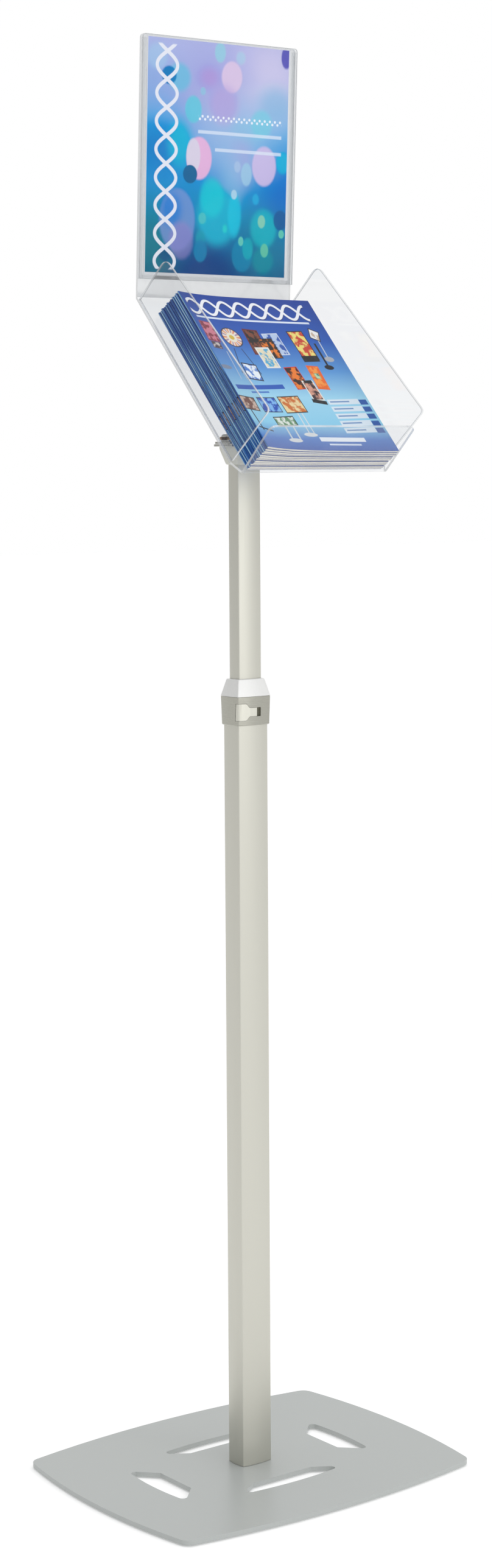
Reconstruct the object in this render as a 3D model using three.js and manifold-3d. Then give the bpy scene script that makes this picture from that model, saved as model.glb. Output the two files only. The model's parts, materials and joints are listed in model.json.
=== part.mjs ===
// Floor-standing sign and literature stand: a flat steel base, a telescoping mast with a lever
// clamp, and a clear acrylic head that holds one letter-size print above a tray of booklets.
// Millimetres, +Z up, the reader stands on the -Y side. Origin: floor under the mast's centre.
import * as THREE from 'three';
import { mergeVertices } from 'three/addons/utils/BufferGeometryUtils.js';
import Module from 'manifold-3d';

const wasm = await Module();
wasm.setup();

// ---------------------------------------------------------------- driving dimensions
const GAP = 0.3; // between pieces that touch on the real stand

const BASE = { halfX: 222, halfY: 169, bowX: 17.5, bowY: 20.5, corner: 11, thickness: 6 };
const FOOT = { height: 1.7, radius: 11, insetX: 200, insetY: 148 };
const PLATE_BOTTOM = FOOT.height + GAP;
const PLATE_TOP = PLATE_BOTTOM + BASE.thickness;

// Four slots in the plate: a bowed outer side, a straight inner side and two slanted ends.
const SLOT_SIDE = { outer: 151, inner: 116.5, tip: 141.5, halfInner: 32.5, halfTip: 55 };
const SLOT_FRONT = { outer: 94, inner: 66.5, tip: 84, halfInner: 45.5, halfTip: 68 };

// Both mast tubes are rectangles whose four sides bow outwards, with crisp corners.
const LOWER = { halfX: 22.2, halfY: 15, bowX: 1.7, bowY: 2.4, corner: 0.9, wall: 2 };
const UPPER = { halfX: 16.8, halfY: 9.8, bowX: 1.3, bowY: 1.9, corner: 0.8, wall: 1.6 };
const LOWER_TUBE_TOP = 954.5;
const UPPER_TUBE = { bottom: 640, top: 1284 };

const COLLAR = { bottom: 948.7, lip: 951, seam: 984, top: 1005.5, rim: 1.6 };
const LEVER = { pinX: -20.6, pinY: -13.4, barrel: 4.4, middle: 965.2, wide: 10.3, narrow: 5.2 };
const FINGER_SLOT = { left: 2, right: 8.6, depth: 6 };

const NECK = { bottom: 1267, top: 1288.7 };
const HEAD_PLATE = { halfX: 33, halfY: 18.7, thickness: 2.7 };
const PLATE_Z = NECK.top + GAP;
const LUG_FLOOR = PLATE_Z + HEAD_PLATE.thickness + GAP;
const HINGE_Z = 1298.7;
const LUG = { ear: 27.3, earThickness: 2.5, footEnd: 32.6, footHeight: 2.7, halfY: 15, top: 1303.7 };

// The acrylic head hangs from the fold line J between the sign panel and the sloping back.
const FOLD = { y: 60, z: 1466.2 };
const BACK_SLOPE = 46.7; // degrees below horizontal, towards the reader
const SIGN_LEAN = 2.6; // degrees forward of upright
const ACRYLIC = 3;
const BEND_RADIUS = 1.5; // on the inside of each heat bend
const HEAD_HALF_WIDTH = 116.5;
const BACK_LENGTH = 289.5;
const LIP = { length: 79, halfWidth: 108, taperStart: 272, corner: 8 };
// Wing corners are given as [distance down the back from the fold, distance off the back].
const WING = { topAtBack: 5, apex: [9, 75], front: [279.5, 96.5], apexCorner: 13, frontCorner: 7 };
const YOKE = { halfWidth: 30, low: -196, high: -128, thickness: 2.5, boss: 5 };
const SIGN_HEIGHT = 311;
const PRINT = { halfWidth: 107.95, height: 279.4, bottom: 29.5, thickness: 0.5 };
const POCKET = { bottom: 24, strip: 1.4, sheet: 2, corner: 4.5 };

const BOOKLET = { count: 12, width: 203, height: 256, spine: 3.25, foreEdge: 2.45, standOff: 0.9 };
const BOOKLET_LEFT = { back: -100, front: -90.5 };

// ---------------------------------------------------------------- finishes
const finish = (color, roughness, metalness, extra = {}) => () =>
  new THREE.MeshStandardMaterial({ color, roughness, metalness, ...extra });
const powderGrey = finish(0xbec2c0, 0.5, 0.1);
const rubber = finish(0x1d1d1e, 0.85, 0);
const champagne = finish(0xd3d2c6, 0.4, 0.75);
const brushed = finish(0xa9a89c, 0.35, 0.9);
const satinSilver = finish(0xe9e9e6, 0.4, 0.5);
const steel = finish(0xb9b8ae, 0.35, 0.9);
const brass = finish(0xb08a58, 0.3, 1);
const nylon = finish(0x3a3a3c, 0.6, 0);
const neckGrey = finish(0xa5a59b, 0.5, 0.4);
const acrylic = finish(0xe4e6e8, 0.05, 0, { transparent: true, opacity: 0.35 });
const printStock = finish(0x3a6fd0, 0.45, 0);
const coverStock = finish(0x1d3fa6, 0.4, 0);

// ---------------------------------------------------------------- geometry helpers
const degrees = (angle) => THREE.MathUtils.degToRad(angle);

/** A closed BufferGeometry as a manifold solid. */
function solid(geometry) {
  const bare = geometry.clone();
  bare.deleteAttribute('normal');
  bare.deleteAttribute('uv');
  const merged = mergeVertices(bare, 1e-5);
  return new wasm.Manifold(new wasm.Mesh({
    numProp: 3,
    vertProperties: new Float32Array(merged.attributes.position.array),
    triVerts: new Uint32Array(merged.index.array),
  }));
}

/** A manifold solid as a BufferGeometry. */
function geometryOf(manifold) {
  const mesh = manifold.getMesh();
  const geometry = new THREE.BufferGeometry();
  geometry.setAttribute('position', new THREE.BufferAttribute(mesh.vertProperties, 3));
  geometry.setIndex(new THREE.BufferAttribute(mesh.triVerts, 1));
  return geometry;
}

const cut = (body, ...tools) =>
  geometryOf(tools.reduce((left, tool) => left.subtract(solid(tool)), solid(body)));
const join = (body, ...others) =>
  geometryOf(others.reduce((left, other) => left.add(solid(other)), solid(body)));

/** A box from its lowest to its highest corner. */
function box(low, high) {
  const size = high.map((value, axis) => value - low[axis]);
  const middle = high.map((value, axis) => (value + low[axis]) / 2);
  return new THREE.BoxGeometry(...size).translate(...middle);
}

/** An upright cylinder or cone frustum from z0 to z1. */
function post(radius, z0, z1, segments = 20, topRadius = radius) {
  return new THREE.CylinderGeometry(topRadius, radius, z1 - z0, segments)
    .rotateX(Math.PI / 2)
    .translate(0, 0, (z0 + z1) / 2);
}

/** A cylinder along X from x0 to x1. */
const rod = (radius, x0, x1, segments = 20) => post(radius, x0, x1, segments).rotateY(Math.PI / 2);

/** Extrudes a shape upwards from z0 to z1. */
const prism = (shape, z0, z1, curveSegments = 6) =>
  new THREE.ExtrudeGeometry(shape, { depth: z1 - z0, bevelEnabled: false, curveSegments })
    .translate(0, 0, z0);

/** Extrudes a shape drawn in the YZ plane along X from x0 to x1. */
function prismAlongX(shape, x0, x1, curveSegments = 6) {
  const turn = new THREE.Matrix4().makeBasis(
    new THREE.Vector3(0, 1, 0), new THREE.Vector3(0, 0, 1), new THREE.Vector3(1, 0, 0));
  return prism(shape, x0, x1, curveSegments).applyMatrix4(turn);
}

/** Traces a rectangle with outward-bowed sides and small rounded corners. */
function traceBowed(path, { halfX, halfY, bowX, bowY, corner }) {
  const endX = halfX - corner;
  const endY = halfY - corner;
  const sideX = halfX + bowX * (1 - (endY / halfY) ** 2);
  const sideY = halfY + bowY * (1 - (endX / halfX) ** 2);
  const controlX = halfX + bowX * (1 + (endY / halfY) ** 2);
  const controlY = halfY + bowY * (1 + (endX / halfX) ** 2);
  path.moveTo(-endX, -sideY);
  path.quadraticCurveTo(0, -controlY, endX, -sideY);
  path.quadraticCurveTo(halfX, -halfY, sideX, -endY);
  path.quadraticCurveTo(controlX, 0, sideX, endY);
  path.quadraticCurveTo(halfX, halfY, endX, sideY);
  path.quadraticCurveTo(0, controlY, -endX, sideY);
  path.quadraticCurveTo(-halfX, halfY, -sideX, endY);
  path.quadraticCurveTo(-controlX, 0, -sideX, -endY);
  path.quadraticCurveTo(-halfX, -halfY, -endX, -sideY);
  return path;
}

/** The same outline grown by a margin on every side; a negative margin shrinks it. */
const grown = (outline, margin) => ({
  ...outline,
  halfX: outline.halfX + margin,
  halfY: outline.halfY + margin,
  corner: Math.max(0.3, outline.corner + margin / 2),
});

const bowedShape = (outline) => traceBowed(new THREE.Shape(), outline);

/** An upright tube between two bowed outlines. */
function bowedTube(outer, inner, z0, z1) {
  const shape = bowedShape(outer);
  shape.holes.push(traceBowed(new THREE.Path(), inner));
  return prism(shape, z0, z1);
}

/** A solid through bowed outlines at rising heights, capped flat at both ends. */
function bowedLoft(sections, curveSegments = 6) {
  const rings = sections.map(([z, outline]) => {
    const points = bowedShape(outline).getPoints(curveSegments).slice(0, -1);
    return points.map((point) => [point.x, point.y, z]);
  });
  const size = rings[0].length;
  const vertices = rings.flat();
  const faces = [];
  for (let level = 0; level + 1 < rings.length; level += 1) {
    for (let step = 0; step < size; step += 1) {
      const a = level * size + step;
      const b = level * size + ((step + 1) % size);
      faces.push([a, b, b + size], [a, b + size, a + size]);
    }
  }
  const bottom = vertices.push([0, 0, sections[0][0]]) - 1;
  const top = vertices.push([0, 0, sections.at(-1)[0]]) - 1;
  const lastRing = (rings.length - 1) * size;
  for (let step = 0; step < size; step += 1) {
    const next = (step + 1) % size;
    faces.push([bottom, next, step], [top, lastRing + step, lastRing + next]);
  }
  const geometry = new THREE.BufferGeometry();
  geometry.setAttribute('position', new THREE.Float32BufferAttribute(vertices.flat(), 3));
  geometry.setIndex(faces.flat());
  return geometry;
}

/** A closed shape through corner points, each rounded by its own radius. */
function roundedShape(corners) {
  const shape = new THREE.Shape();
  corners.forEach(([x, y, radius], index) => {
    const here = new THREE.Vector2(x, y);
    const before = new THREE.Vector2(...corners.at(index - 1).slice(0, 2));
    const after = new THREE.Vector2(...corners[(index + 1) % corners.length].slice(0, 2));
    const towards = (other) => here.clone().add(other.sub(here).setLength(radius || 1e-3));
    const start = towards(before);
    const end = towards(after);
    if (index === 0) shape.moveTo(start.x, start.y);
    else shape.lineTo(start.x, start.y);
    if (radius) shape.quadraticCurveTo(x, y, end.x, end.y);
    else shape.lineTo(x, y);
  });
  shape.closePath();
  return shape;
}

const stand = new THREE.Group();

/** Adds a named sub-part to a group, by default the stand itself. */
function add(name, geometry, material, group = stand) {
  const mesh = new THREE.Mesh(geometry, material());
  mesh.name = name;
  group.add(mesh);
  return mesh;
}

// ---------------------------------------------------------------- base
/** One slot outline; turn(a, b) places the outward distance a and the sideways distance b. */
function slotPath({ outer, inner, tip, halfInner, halfTip }, turn) {
  const end = 3;
  const path = new THREE.Path();
  path.moveTo(...turn(inner, -halfInner));
  path.lineTo(...turn(tip - end, -halfTip));
  path.quadraticCurveTo(...turn(tip + end, -halfTip - end), ...turn(tip + 2 * end, -halfTip + end));
  path.quadraticCurveTo(...turn(2 * outer - tip - 2 * end, 0), ...turn(tip + 2 * end, halfTip - end));
  path.quadraticCurveTo(...turn(tip + end, halfTip + end), ...turn(tip - end, halfTip));
  path.lineTo(...turn(inner, halfInner));
  path.closePath();
  return path;
}

const BASE_SCREWS = [[-12, -7], [12, -7], [12, 7], [-12, 7]];
const BASE_SCREW = { head: 4.6, shank: 2.4, headHeight: 2.6, top: 34 };

const plateShape = bowedShape(BASE);
plateShape.holes.push(
  slotPath(SLOT_SIDE, (out, along) => [-out, along]),
  slotPath(SLOT_SIDE, (out, along) => [out, -along]),
  slotPath(SLOT_FRONT, (out, along) => [along, -out]),
  slotPath(SLOT_FRONT, (out, along) => [-along, out]),
);
const baseScrewHoles = BASE_SCREWS.flatMap(([x, y]) => [
  post(BASE_SCREW.shank + GAP, PLATE_BOTTOM - 1, PLATE_TOP + 1, 16).translate(x, y, 0),
  post(BASE_SCREW.head + 2 * GAP, PLATE_BOTTOM - 1, PLATE_BOTTOM + BASE_SCREW.headHeight + 2 * GAP, 16)
    .translate(x, y, 0),
]);
add('base_plate', cut(prism(plateShape, PLATE_BOTTOM, PLATE_TOP, 12), ...baseScrewHoles), powderGrey);

const FEET = { front_left: [-1, -1], front_right: [1, -1], rear_right: [1, 1], rear_left: [-1, 1] };
for (const [corner, [sideX, sideY]] of Object.entries(FEET)) {
  const pad = post(FOOT.radius, 0, FOOT.height, 24, FOOT.radius - 0.6);
  add(`foot_pad_${corner}`, pad.translate(sideX * FOOT.insetX, sideY * FOOT.insetY, 0), rubber);
}

const tubeBore = grown(LOWER, -LOWER.wall);
const plugTop = PLATE_TOP + GAP + 32;
const plug = cut(
  prism(bowedShape(grown(tubeBore, -GAP)), PLATE_TOP + GAP, plugTop),
  ...BASE_SCREWS.map(([x, y]) =>
    post(BASE_SCREW.shank + GAP, PLATE_TOP - 1, BASE_SCREW.top + 1, 16).translate(x, y, 0)),
);
add('mast_foot_plug', plug, steel);

BASE_SCREWS.forEach(([x, y], index) => {
  const headTop = PLATE_BOTTOM + GAP + BASE_SCREW.headHeight;
  const screw = join(
    post(BASE_SCREW.head, PLATE_BOTTOM + GAP, headTop, 16),
    post(BASE_SCREW.shank, headTop - 0.5, BASE_SCREW.top, 16),
  );
  add(`base_screw_${index + 1}`, screw.translate(x, y, 0), steel);
});

// ---------------------------------------------------------------- mast
add('lower_tube', bowedTube(LOWER, tubeBore, PLATE_TOP + GAP, LOWER_TUBE_TOP), champagne);
add('upper_tube', bowedTube(UPPER, grown(UPPER, -UPPER.wall), UPPER_TUBE.bottom, UPPER_TUBE.top),
  champagne);

// A nylon shoe plugs the foot of the sliding tube and rubs on the outer tube's bore.
const glideRing = prism(bowedShape(grown(tubeBore, -0.5)), UPPER_TUBE.bottom - 18, UPPER_TUBE.bottom - GAP);
const glideSpigot = prism(bowedShape(grown(UPPER, -UPPER.wall - GAP)), UPPER_TUBE.bottom - 1,
  UPPER_TUBE.bottom + 20);
add('mast_glide', join(glideRing, glideSpigot), nylon);

// A nylon bush in the outer tube's mouth guides the sliding tube.
const bushBore = grown(UPPER, 0.4);
add('mast_bush', bowedTube(grown(tubeBore, -GAP), bushBore, LOWER_TUBE_TOP - 40, LOWER_TUBE_TOP - GAP),
  nylon);

// ---------------------------------------------------------------- collar and its lock
const bandFoot = { halfX: 24, halfY: 17, bowX: 1.8, bowY: 2.5, corner: 0.9 };
const bandLip = { ...bandFoot, halfX: 23.2, halfY: 16.2 };
const bandHead = { ...bandFoot, halfX: 24.9, halfY: 17.7 };
const coneRim = { halfX: 19.4, halfY: 12, bowX: 1.4, bowY: 2, corner: 0.9 };
const coneShoulder = { ...coneRim, halfX: 20.2, halfY: 12.8 };

const bandBlank = bowedLoft([
  [COLLAR.bottom, bandLip],
  [COLLAR.bottom + 0.9, bandFoot],
  [COLLAR.lip, bandFoot],
  [COLLAR.seam, bandHead],
]);
const tubePocket = prism(bowedShape(grown(LOWER, GAP)), COLLAR.bottom - 1, LOWER_TUBE_TOP + GAP);
const slideBore = prism(bowedShape(bushBore), COLLAR.bottom - 1, COLLAR.top + 5);

// The lever sits in a window at the front left corner: wide at its hinge, narrow at its tongue.
/** The lever's outline on the front face, from its left end and grown by a margin. */
function leverFace(margin, left) {
  const { middle, wide, narrow } = LEVER;
  const right = 2.6 + margin;
  const high = wide + margin;
  const low = narrow + margin;
  const shape = new THREE.Shape();
  shape.moveTo(left, middle - high);
  shape.lineTo(-14.5 + margin, middle - high);
  shape.bezierCurveTo(-11, middle - high, -10.5, middle - low, -7 + margin, middle - low);
  shape.lineTo(right, middle - low);
  shape.lineTo(right, middle + low);
  shape.lineTo(-7 + margin, middle + low);
  shape.bezierCurveTo(-10.5, middle + low, -11, middle + high, -14.5 + margin, middle + high);
  shape.lineTo(left, middle + high);
  shape.closePath();
  return shape;
}

/** Extrudes a shape drawn in the XZ plane from y0 to y1. */
const prismAlongY = (shape, y0, y1, curveSegments = 6) =>
  prism(shape, -y1, -y0, curveSegments).rotateX(Math.PI / 2);

const leverWindow = prismAlongY(leverFace(GAP, -30), -30, -16.6);
const leverBarrelRoom = post(LEVER.barrel + GAP, LEVER.middle - LEVER.wide - GAP,
  LEVER.middle + LEVER.wide + GAP, 32).translate(LEVER.pinX, LEVER.pinY, 0);
const leverCornerRoom = box(
  [-30, -25, LEVER.middle - LEVER.wide - GAP],
  [LEVER.pinX, LEVER.pinY, LEVER.middle + LEVER.wide + GAP],
);
const fingerSlot = box(
  [FINGER_SLOT.left, -30, LEVER.middle - LEVER.narrow - GAP],
  [FINGER_SLOT.right, -19.5 + FINGER_SLOT.depth, LEVER.middle + LEVER.narrow + GAP],
);
// The pin goes in from below and the lower tube's end keeps it there.
const PIN = { radius: 1, bottom: LOWER_TUBE_TOP + 0.4, top: LEVER.middle + LEVER.wide + 4 };
const pinHole = post(PIN.radius + GAP, PIN.bottom - 1, PIN.top + GAP, 16)
  .translate(LEVER.pinX, LEVER.pinY, 0);
const SHOE = { low: [-13.5, -16.2, 957], high: [-1, -12.5, 973.5] };
const shoeRoom = box(
  [SHOE.low[0] - GAP, SHOE.low[1] - GAP, SHOE.low[2] - GAP],
  [SHOE.high[0] + GAP, SHOE.high[1] + 3, SHOE.high[2] + GAP],
);
const COLLAR_SCREW = { x: 11, z: 951.8, radius: 2.1, tip: 17.2, length: 2 };
const screwRooms = [-1, 1].map((side) =>
  post(COLLAR_SCREW.radius + GAP, 0, 10, 16).rotateX(-Math.PI / 2)
    .translate(side * COLLAR_SCREW.x, COLLAR_SCREW.tip - GAP, COLLAR_SCREW.z));
add('collar_band', cut(bandBlank, tubePocket, slideBore, leverWindow, leverBarrelRoom, leverCornerRoom,
  fingerSlot, pinHole, shoeRoom, ...screwRooms), brushed);

const coneBlank = bowedLoft([
  [COLLAR.seam + GAP, bandHead],
  [COLLAR.seam + GAP + 0.6, bandHead],
  [COLLAR.top - COLLAR.rim, coneShoulder],
  [COLLAR.top - COLLAR.rim / 3, grown(coneShoulder, -0.5)],
  [COLLAR.top, grown(coneShoulder, -1.4)],
]);
add('collar_cone', cut(coneBlank, slideBore), satinSilver);

const leverSkin = bowedLoft([
  [LEVER.middle - LEVER.wide, { ...bandFoot, halfX: 24.35, halfY: 17.3 }],
  [LEVER.middle + LEVER.wide, { ...bandFoot, halfX: 24.65, halfY: 17.55 }],
]);
const leverPlate = solid(leverSkin)
  .intersect(solid(prismAlongY(leverFace(0, LEVER.pinX), -30, -16.9)));
// Its hinge end is a barrel round the pin, flush with both faces of the corner.
const leverBarrel = solid(post(LEVER.barrel, LEVER.middle - LEVER.wide, LEVER.middle + LEVER.wide, 32)
  .translate(LEVER.pinX, LEVER.pinY, 0));
const leverPinHole = solid(post(PIN.radius + GAP, PIN.bottom - 5, PIN.top + 5, 16)
  .translate(LEVER.pinX, LEVER.pinY, 0));
add('lock_lever', geometryOf(leverPlate.add(leverBarrel).subtract(leverPinHole)), champagne);
add('lever_pin', post(PIN.radius, PIN.bottom, PIN.top, 16)
  .translate(LEVER.pinX, LEVER.pinY, 0), steel);
add('clamp_shoe', box(SHOE.low, SHOE.high), nylon);
for (const [name, side] of [['left', -1], ['right', 1]]) {
  const screw = post(COLLAR_SCREW.radius, 0, COLLAR_SCREW.length, 16).rotateX(-Math.PI / 2)
    .translate(side * COLLAR_SCREW.x, COLLAR_SCREW.tip, COLLAR_SCREW.z);
  add(`collar_screw_${name}`, screw, steel);
}

// ---------------------------------------------------------------- neck, head plate and hinge
const neckFoot = { halfX: 18.2, halfY: 11.2, bowX: 1.3, bowY: 1.9, corner: 0.9 };
const neckHead = { halfX: 25.6, halfY: 17, bowX: 1, bowY: 1.2, corner: 2 };
const neckBlank = bowedLoft([
  [NECK.bottom, neckFoot],
  [NECK.bottom + 1.5, grown(neckFoot, 1.2)],
  [NECK.top - 3, grown(neckHead, -0.2)],
  [NECK.top, neckHead],
]);
const tubeSocket = bowedTube(grown(UPPER, GAP), grown(UPPER, -UPPER.wall - GAP),
  NECK.bottom - 1, UPPER_TUBE.top + GAP);
const neckSpigot = prism(bowedShape(grown(UPPER, -UPPER.wall - GAP)), NECK.bottom - 18, NECK.bottom + 4);
const HEAD_SCREW = { x: 9, head: 4.2, shank: 2.2, headHeight: 2.2, bottom: 1268 };
const headScrewHoles = [-1, 1].flatMap((side) => [
  post(HEAD_SCREW.shank + GAP, HEAD_SCREW.bottom - 1, NECK.top + 9, 16)
    .translate(side * HEAD_SCREW.x, 0, 0),
]);
add('neck_cap', cut(join(neckBlank, neckSpigot), tubeSocket, ...headScrewHoles), neckGrey);

const headPlateTop = PLATE_Z + HEAD_PLATE.thickness;
const headPlateShape = roundedShape([
  [-HEAD_PLATE.halfX, -HEAD_PLATE.halfY, 3],
  [HEAD_PLATE.halfX, -HEAD_PLATE.halfY, 3],
  [HEAD_PLATE.halfX, HEAD_PLATE.halfY, 3],
  [-HEAD_PLATE.halfX, HEAD_PLATE.halfY, 3],
]);
const LUG_SCREW = { x: 30, y: 9.5, head: 1.9, shank: 1.1 };
const lugScrewHoles = [-1, 1].map((side) =>
  post(LUG_SCREW.shank + 0.25, PLATE_Z - 1, LUG_FLOOR + LUG.footHeight + 1, 12)
    .translate(side * LUG_SCREW.x, side * LUG_SCREW.y, 0));
const headScrewSeats = [-1, 1].map((side) =>
  post(HEAD_SCREW.head + GAP, headPlateTop - HEAD_SCREW.headHeight - GAP, headPlateTop + 1, 16)
    .translate(side * HEAD_SCREW.x, 0, 0));
add('head_plate', cut(prism(headPlateShape, PLATE_Z, headPlateTop), ...headScrewHoles, ...headScrewSeats,
  ...lugScrewHoles), steel);

for (const [name, side] of [['left', -1], ['right', 1]]) {
  const headScrew = join(
    post(HEAD_SCREW.head, headPlateTop - HEAD_SCREW.headHeight, headPlateTop - 0.1, 16),
    post(HEAD_SCREW.shank, HEAD_SCREW.bottom, headPlateTop - 1, 16),
  );
  add(`head_screw_${name}`, headScrew.translate(side * HEAD_SCREW.x, 0, 0), steel);

  const foot = box(
    [LUG.ear - LUG.earThickness, -LUG.halfY, LUG_FLOOR],
    [LUG.footEnd, LUG.halfY, LUG_FLOOR + LUG.footHeight],
  );
  const earShape = roundedShape([
    [-10, LUG_FLOOR, 0], [10, LUG_FLOOR, 0], [10, LUG.top, 5.5], [-10, LUG.top, 5.5],
  ]);
  const ear = prismAlongX(earShape, LUG.ear - LUG.earThickness, LUG.ear);
  const lug = cut(
    join(foot, ear),
    rod(2.2, LUG.ear - 5, LUG.ear + 1).translate(0, 0, HINGE_Z),
    post(LUG_SCREW.shank + 0.25, LUG_FLOOR - 1, LUG_FLOOR + 9, 12).translate(LUG_SCREW.x, LUG_SCREW.y, 0),
  );
  const turn = side > 0 ? 0 : Math.PI;
  add(`hinge_lug_${name}`, lug.rotateZ(turn), steel);

  const lugScrew = join(
    post(LUG_SCREW.head, LUG_FLOOR + LUG.footHeight + GAP, LUG_FLOOR + LUG.footHeight + 2, 12),
    post(LUG_SCREW.shank, PLATE_Z + 0.2, LUG_FLOOR + LUG.footHeight + 1, 12),
  );
  add(`lug_screw_${name}`, lugScrew.translate(LUG_SCREW.x, LUG_SCREW.y, 0).rotateZ(turn), steel);
}

const HINGE_BOLT = { radius: 1.9, left: -35.6, right: 31, head: 3.6 };
const hingeBolt = join(
  rod(HINGE_BOLT.radius, HINGE_BOLT.left, HINGE_BOLT.right + 0.5),
  rod(HINGE_BOLT.head, HINGE_BOLT.right, HINGE_BOLT.right + 2.8, 6),
);
add('hinge_bolt', hingeBolt.translate(0, 0, HINGE_Z), brass);
const hingeNut = cut(rod(3.6, -21.6, -18.4, 6), rod(HINGE_BOLT.radius + GAP, -23, -17));
add('hinge_nut', hingeNut.translate(0, 0, HINGE_Z), steel);

// ---------------------------------------------------------------- acrylic head
// tray: local +Y climbs the sloping back from the fold, local +Z stands off its underside.
const tray = new THREE.Group();
tray.position.set(0, FOLD.y, FOLD.z);
tray.rotation.x = degrees(BACK_SLOPE);
// sign: local +Y climbs the sign panel from the fold, local +Z points at the reader.
const sign = new THREE.Group();
sign.position.copy(tray.position);
sign.rotation.x = degrees(90 + SIGN_LEAN);
stand.add(tray, sign);

/** The outline of a sheet bent to its left along a line of [y, z] corners, which is its back. */
function bentSheet(corners, thickness, insideRadius, segments = 6) {
  const points = corners.map(([y, z]) => new THREE.Vector2(y, z));
  const leftOf = (direction) => new THREE.Vector2(-direction.y, direction.x);
  const along = (from, to) => to.clone().sub(from).normalize();
  const first = along(points[0], points[1]);
  const last = along(points.at(-2), points.at(-1));
  const back = [points[0]];
  const face = [points[0].clone().addScaledVector(leftOf(first), thickness)];
  for (let index = 1; index + 1 < points.length; index += 1) {
    const into = along(points[index - 1], points[index]);
    const turn = into.angleTo(along(points[index], points[index + 1]));
    const outside = insideRadius + thickness;
    const centre = points[index].clone()
      .addScaledVector(into, -outside * Math.tan(turn / 2))
      .addScaledVector(leftOf(into), outside);
    const startAngle = into.angle() - Math.PI / 2;
    for (let step = 0; step <= segments; step += 1) {
      const angle = startAngle + (turn * step) / segments;
      const ray = new THREE.Vector2(Math.cos(angle), Math.sin(angle));
      back.push(centre.clone().addScaledVector(ray, outside));
      face.push(centre.clone().addScaledVector(ray, insideRadius));
    }
  }
  back.push(points.at(-1));
  face.push(points.at(-1).clone().addScaledVector(leftOf(last), thickness));
  return new THREE.Shape([...back, ...face.reverse()]);
}

/** What is cut away to round the upper corner of a sheet that ends at x = halfWidth, y = top. */
function cornerOffcut(halfWidth, top, radius, side) {
  const arc = [];
  for (let step = 0; step <= 6; step += 1) {
    const angle = (Math.PI / 2) * (1 - step / 6);
    arc.push([halfWidth - radius + radius * Math.cos(angle), top - radius + radius * Math.sin(angle)]);
  }
  const outline = [...arc, [halfWidth + 2, top - radius], [halfWidth + 2, top + 2],
    [halfWidth - radius, top + 2]];
  return new THREE.Shape(outline.map(([x, y]) => new THREE.Vector2(side * x, y)));
}

// One sheet runs from the lip's top edge, up the sloping back and on up to the sign's top edge.
const foldAngle = degrees(90 + SIGN_LEAN - BACK_SLOPE);
const sheetOutline = bentSheet([
  [-BACK_LENGTH, LIP.length],
  [-BACK_LENGTH, 0],
  [0, 0],
  [SIGN_HEIGHT * Math.cos(foldAngle), SIGN_HEIGHT * Math.sin(foldAngle)],
], ACRYLIC, BEND_RADIUS);

const TRAY_SCREW = { x: 20, rows: [-190, -136], head: 3.8, shank: 1.9, tip: -7 };
const trayScrewPlaces = TRAY_SCREW.rows.flatMap((y) => [[-TRAY_SCREW.x, y], [TRAY_SCREW.x, y]]);
const sheetOffcuts = [-1, 1].flatMap((side) => {
  const taper = [
    [HEAD_HALF_WIDTH + 5, -LIP.taperStart],
    [HEAD_HALF_WIDTH, -LIP.taperStart],
    [LIP.halfWidth, -BACK_LENGTH + ACRYLIC],
    [LIP.halfWidth, -BACK_LENGTH - 5],
    [HEAD_HALF_WIDTH + 5, -BACK_LENGTH - 5],
  ];
  const taperShape = new THREE.Shape(taper.map(([x, y]) => new THREE.Vector2(side * x, y)));
  const lipCorner = cornerOffcut(LIP.halfWidth, LIP.length, LIP.corner, side);
  const signCorner = cornerOffcut(HEAD_HALF_WIDTH, SIGN_HEIGHT, POCKET.corner, side);
  return [
    prism(taperShape, -5, LIP.length + 5),
    prismAlongY(lipCorner, -BACK_LENGTH - 5, -BACK_LENGTH + 9),
    prism(signCorner, -5, 9).rotateX(foldAngle),
  ];
});
const screwSeats = trayScrewPlaces.flatMap(([x, y]) => [
  post(TRAY_SCREW.shank + GAP, -1, ACRYLIC + 1, 16).translate(x, y, 0),
  post(TRAY_SCREW.shank + GAP, 0.7, ACRYLIC + 0.1, 16, TRAY_SCREW.head + 0.5).translate(x, y, 0),
]);
const sheetBlank = prismAlongX(sheetOutline, -HEAD_HALF_WIDTH, HEAD_HALF_WIDTH);
add('tray_sheet', cut(sheetBlank, ...sheetOffcuts, ...screwSeats), acrylic, tray);

trayScrewPlaces.forEach(([x, y], index) => {
  const screw = join(
    post(TRAY_SCREW.shank, 0.9, ACRYLIC - 0.2, 16, TRAY_SCREW.head),
    post(TRAY_SCREW.shank, TRAY_SCREW.tip, 1.2, 16),
  );
  add(`tray_screw_${index + 1}`, screw.translate(x, y, 0), steel, tray);
});

const wingShape = roundedShape([
  [-WING.topAtBack, ACRYLIC + GAP, 0],
  [-WING.apex[0], WING.apex[1], WING.apexCorner],
  [-WING.front[0], WING.front[1], WING.frontCorner],
  [-LIP.taperStart, ACRYLIC + GAP, 3],
]);
for (const [name, inner] of [['left', -HEAD_HALF_WIDTH], ['right', HEAD_HALF_WIDTH - ACRYLIC]]) {
  add(`tray_wing_${name}`, prismAlongX(wingShape, inner, inner + ACRYLIC), acrylic, tray);
}

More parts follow.
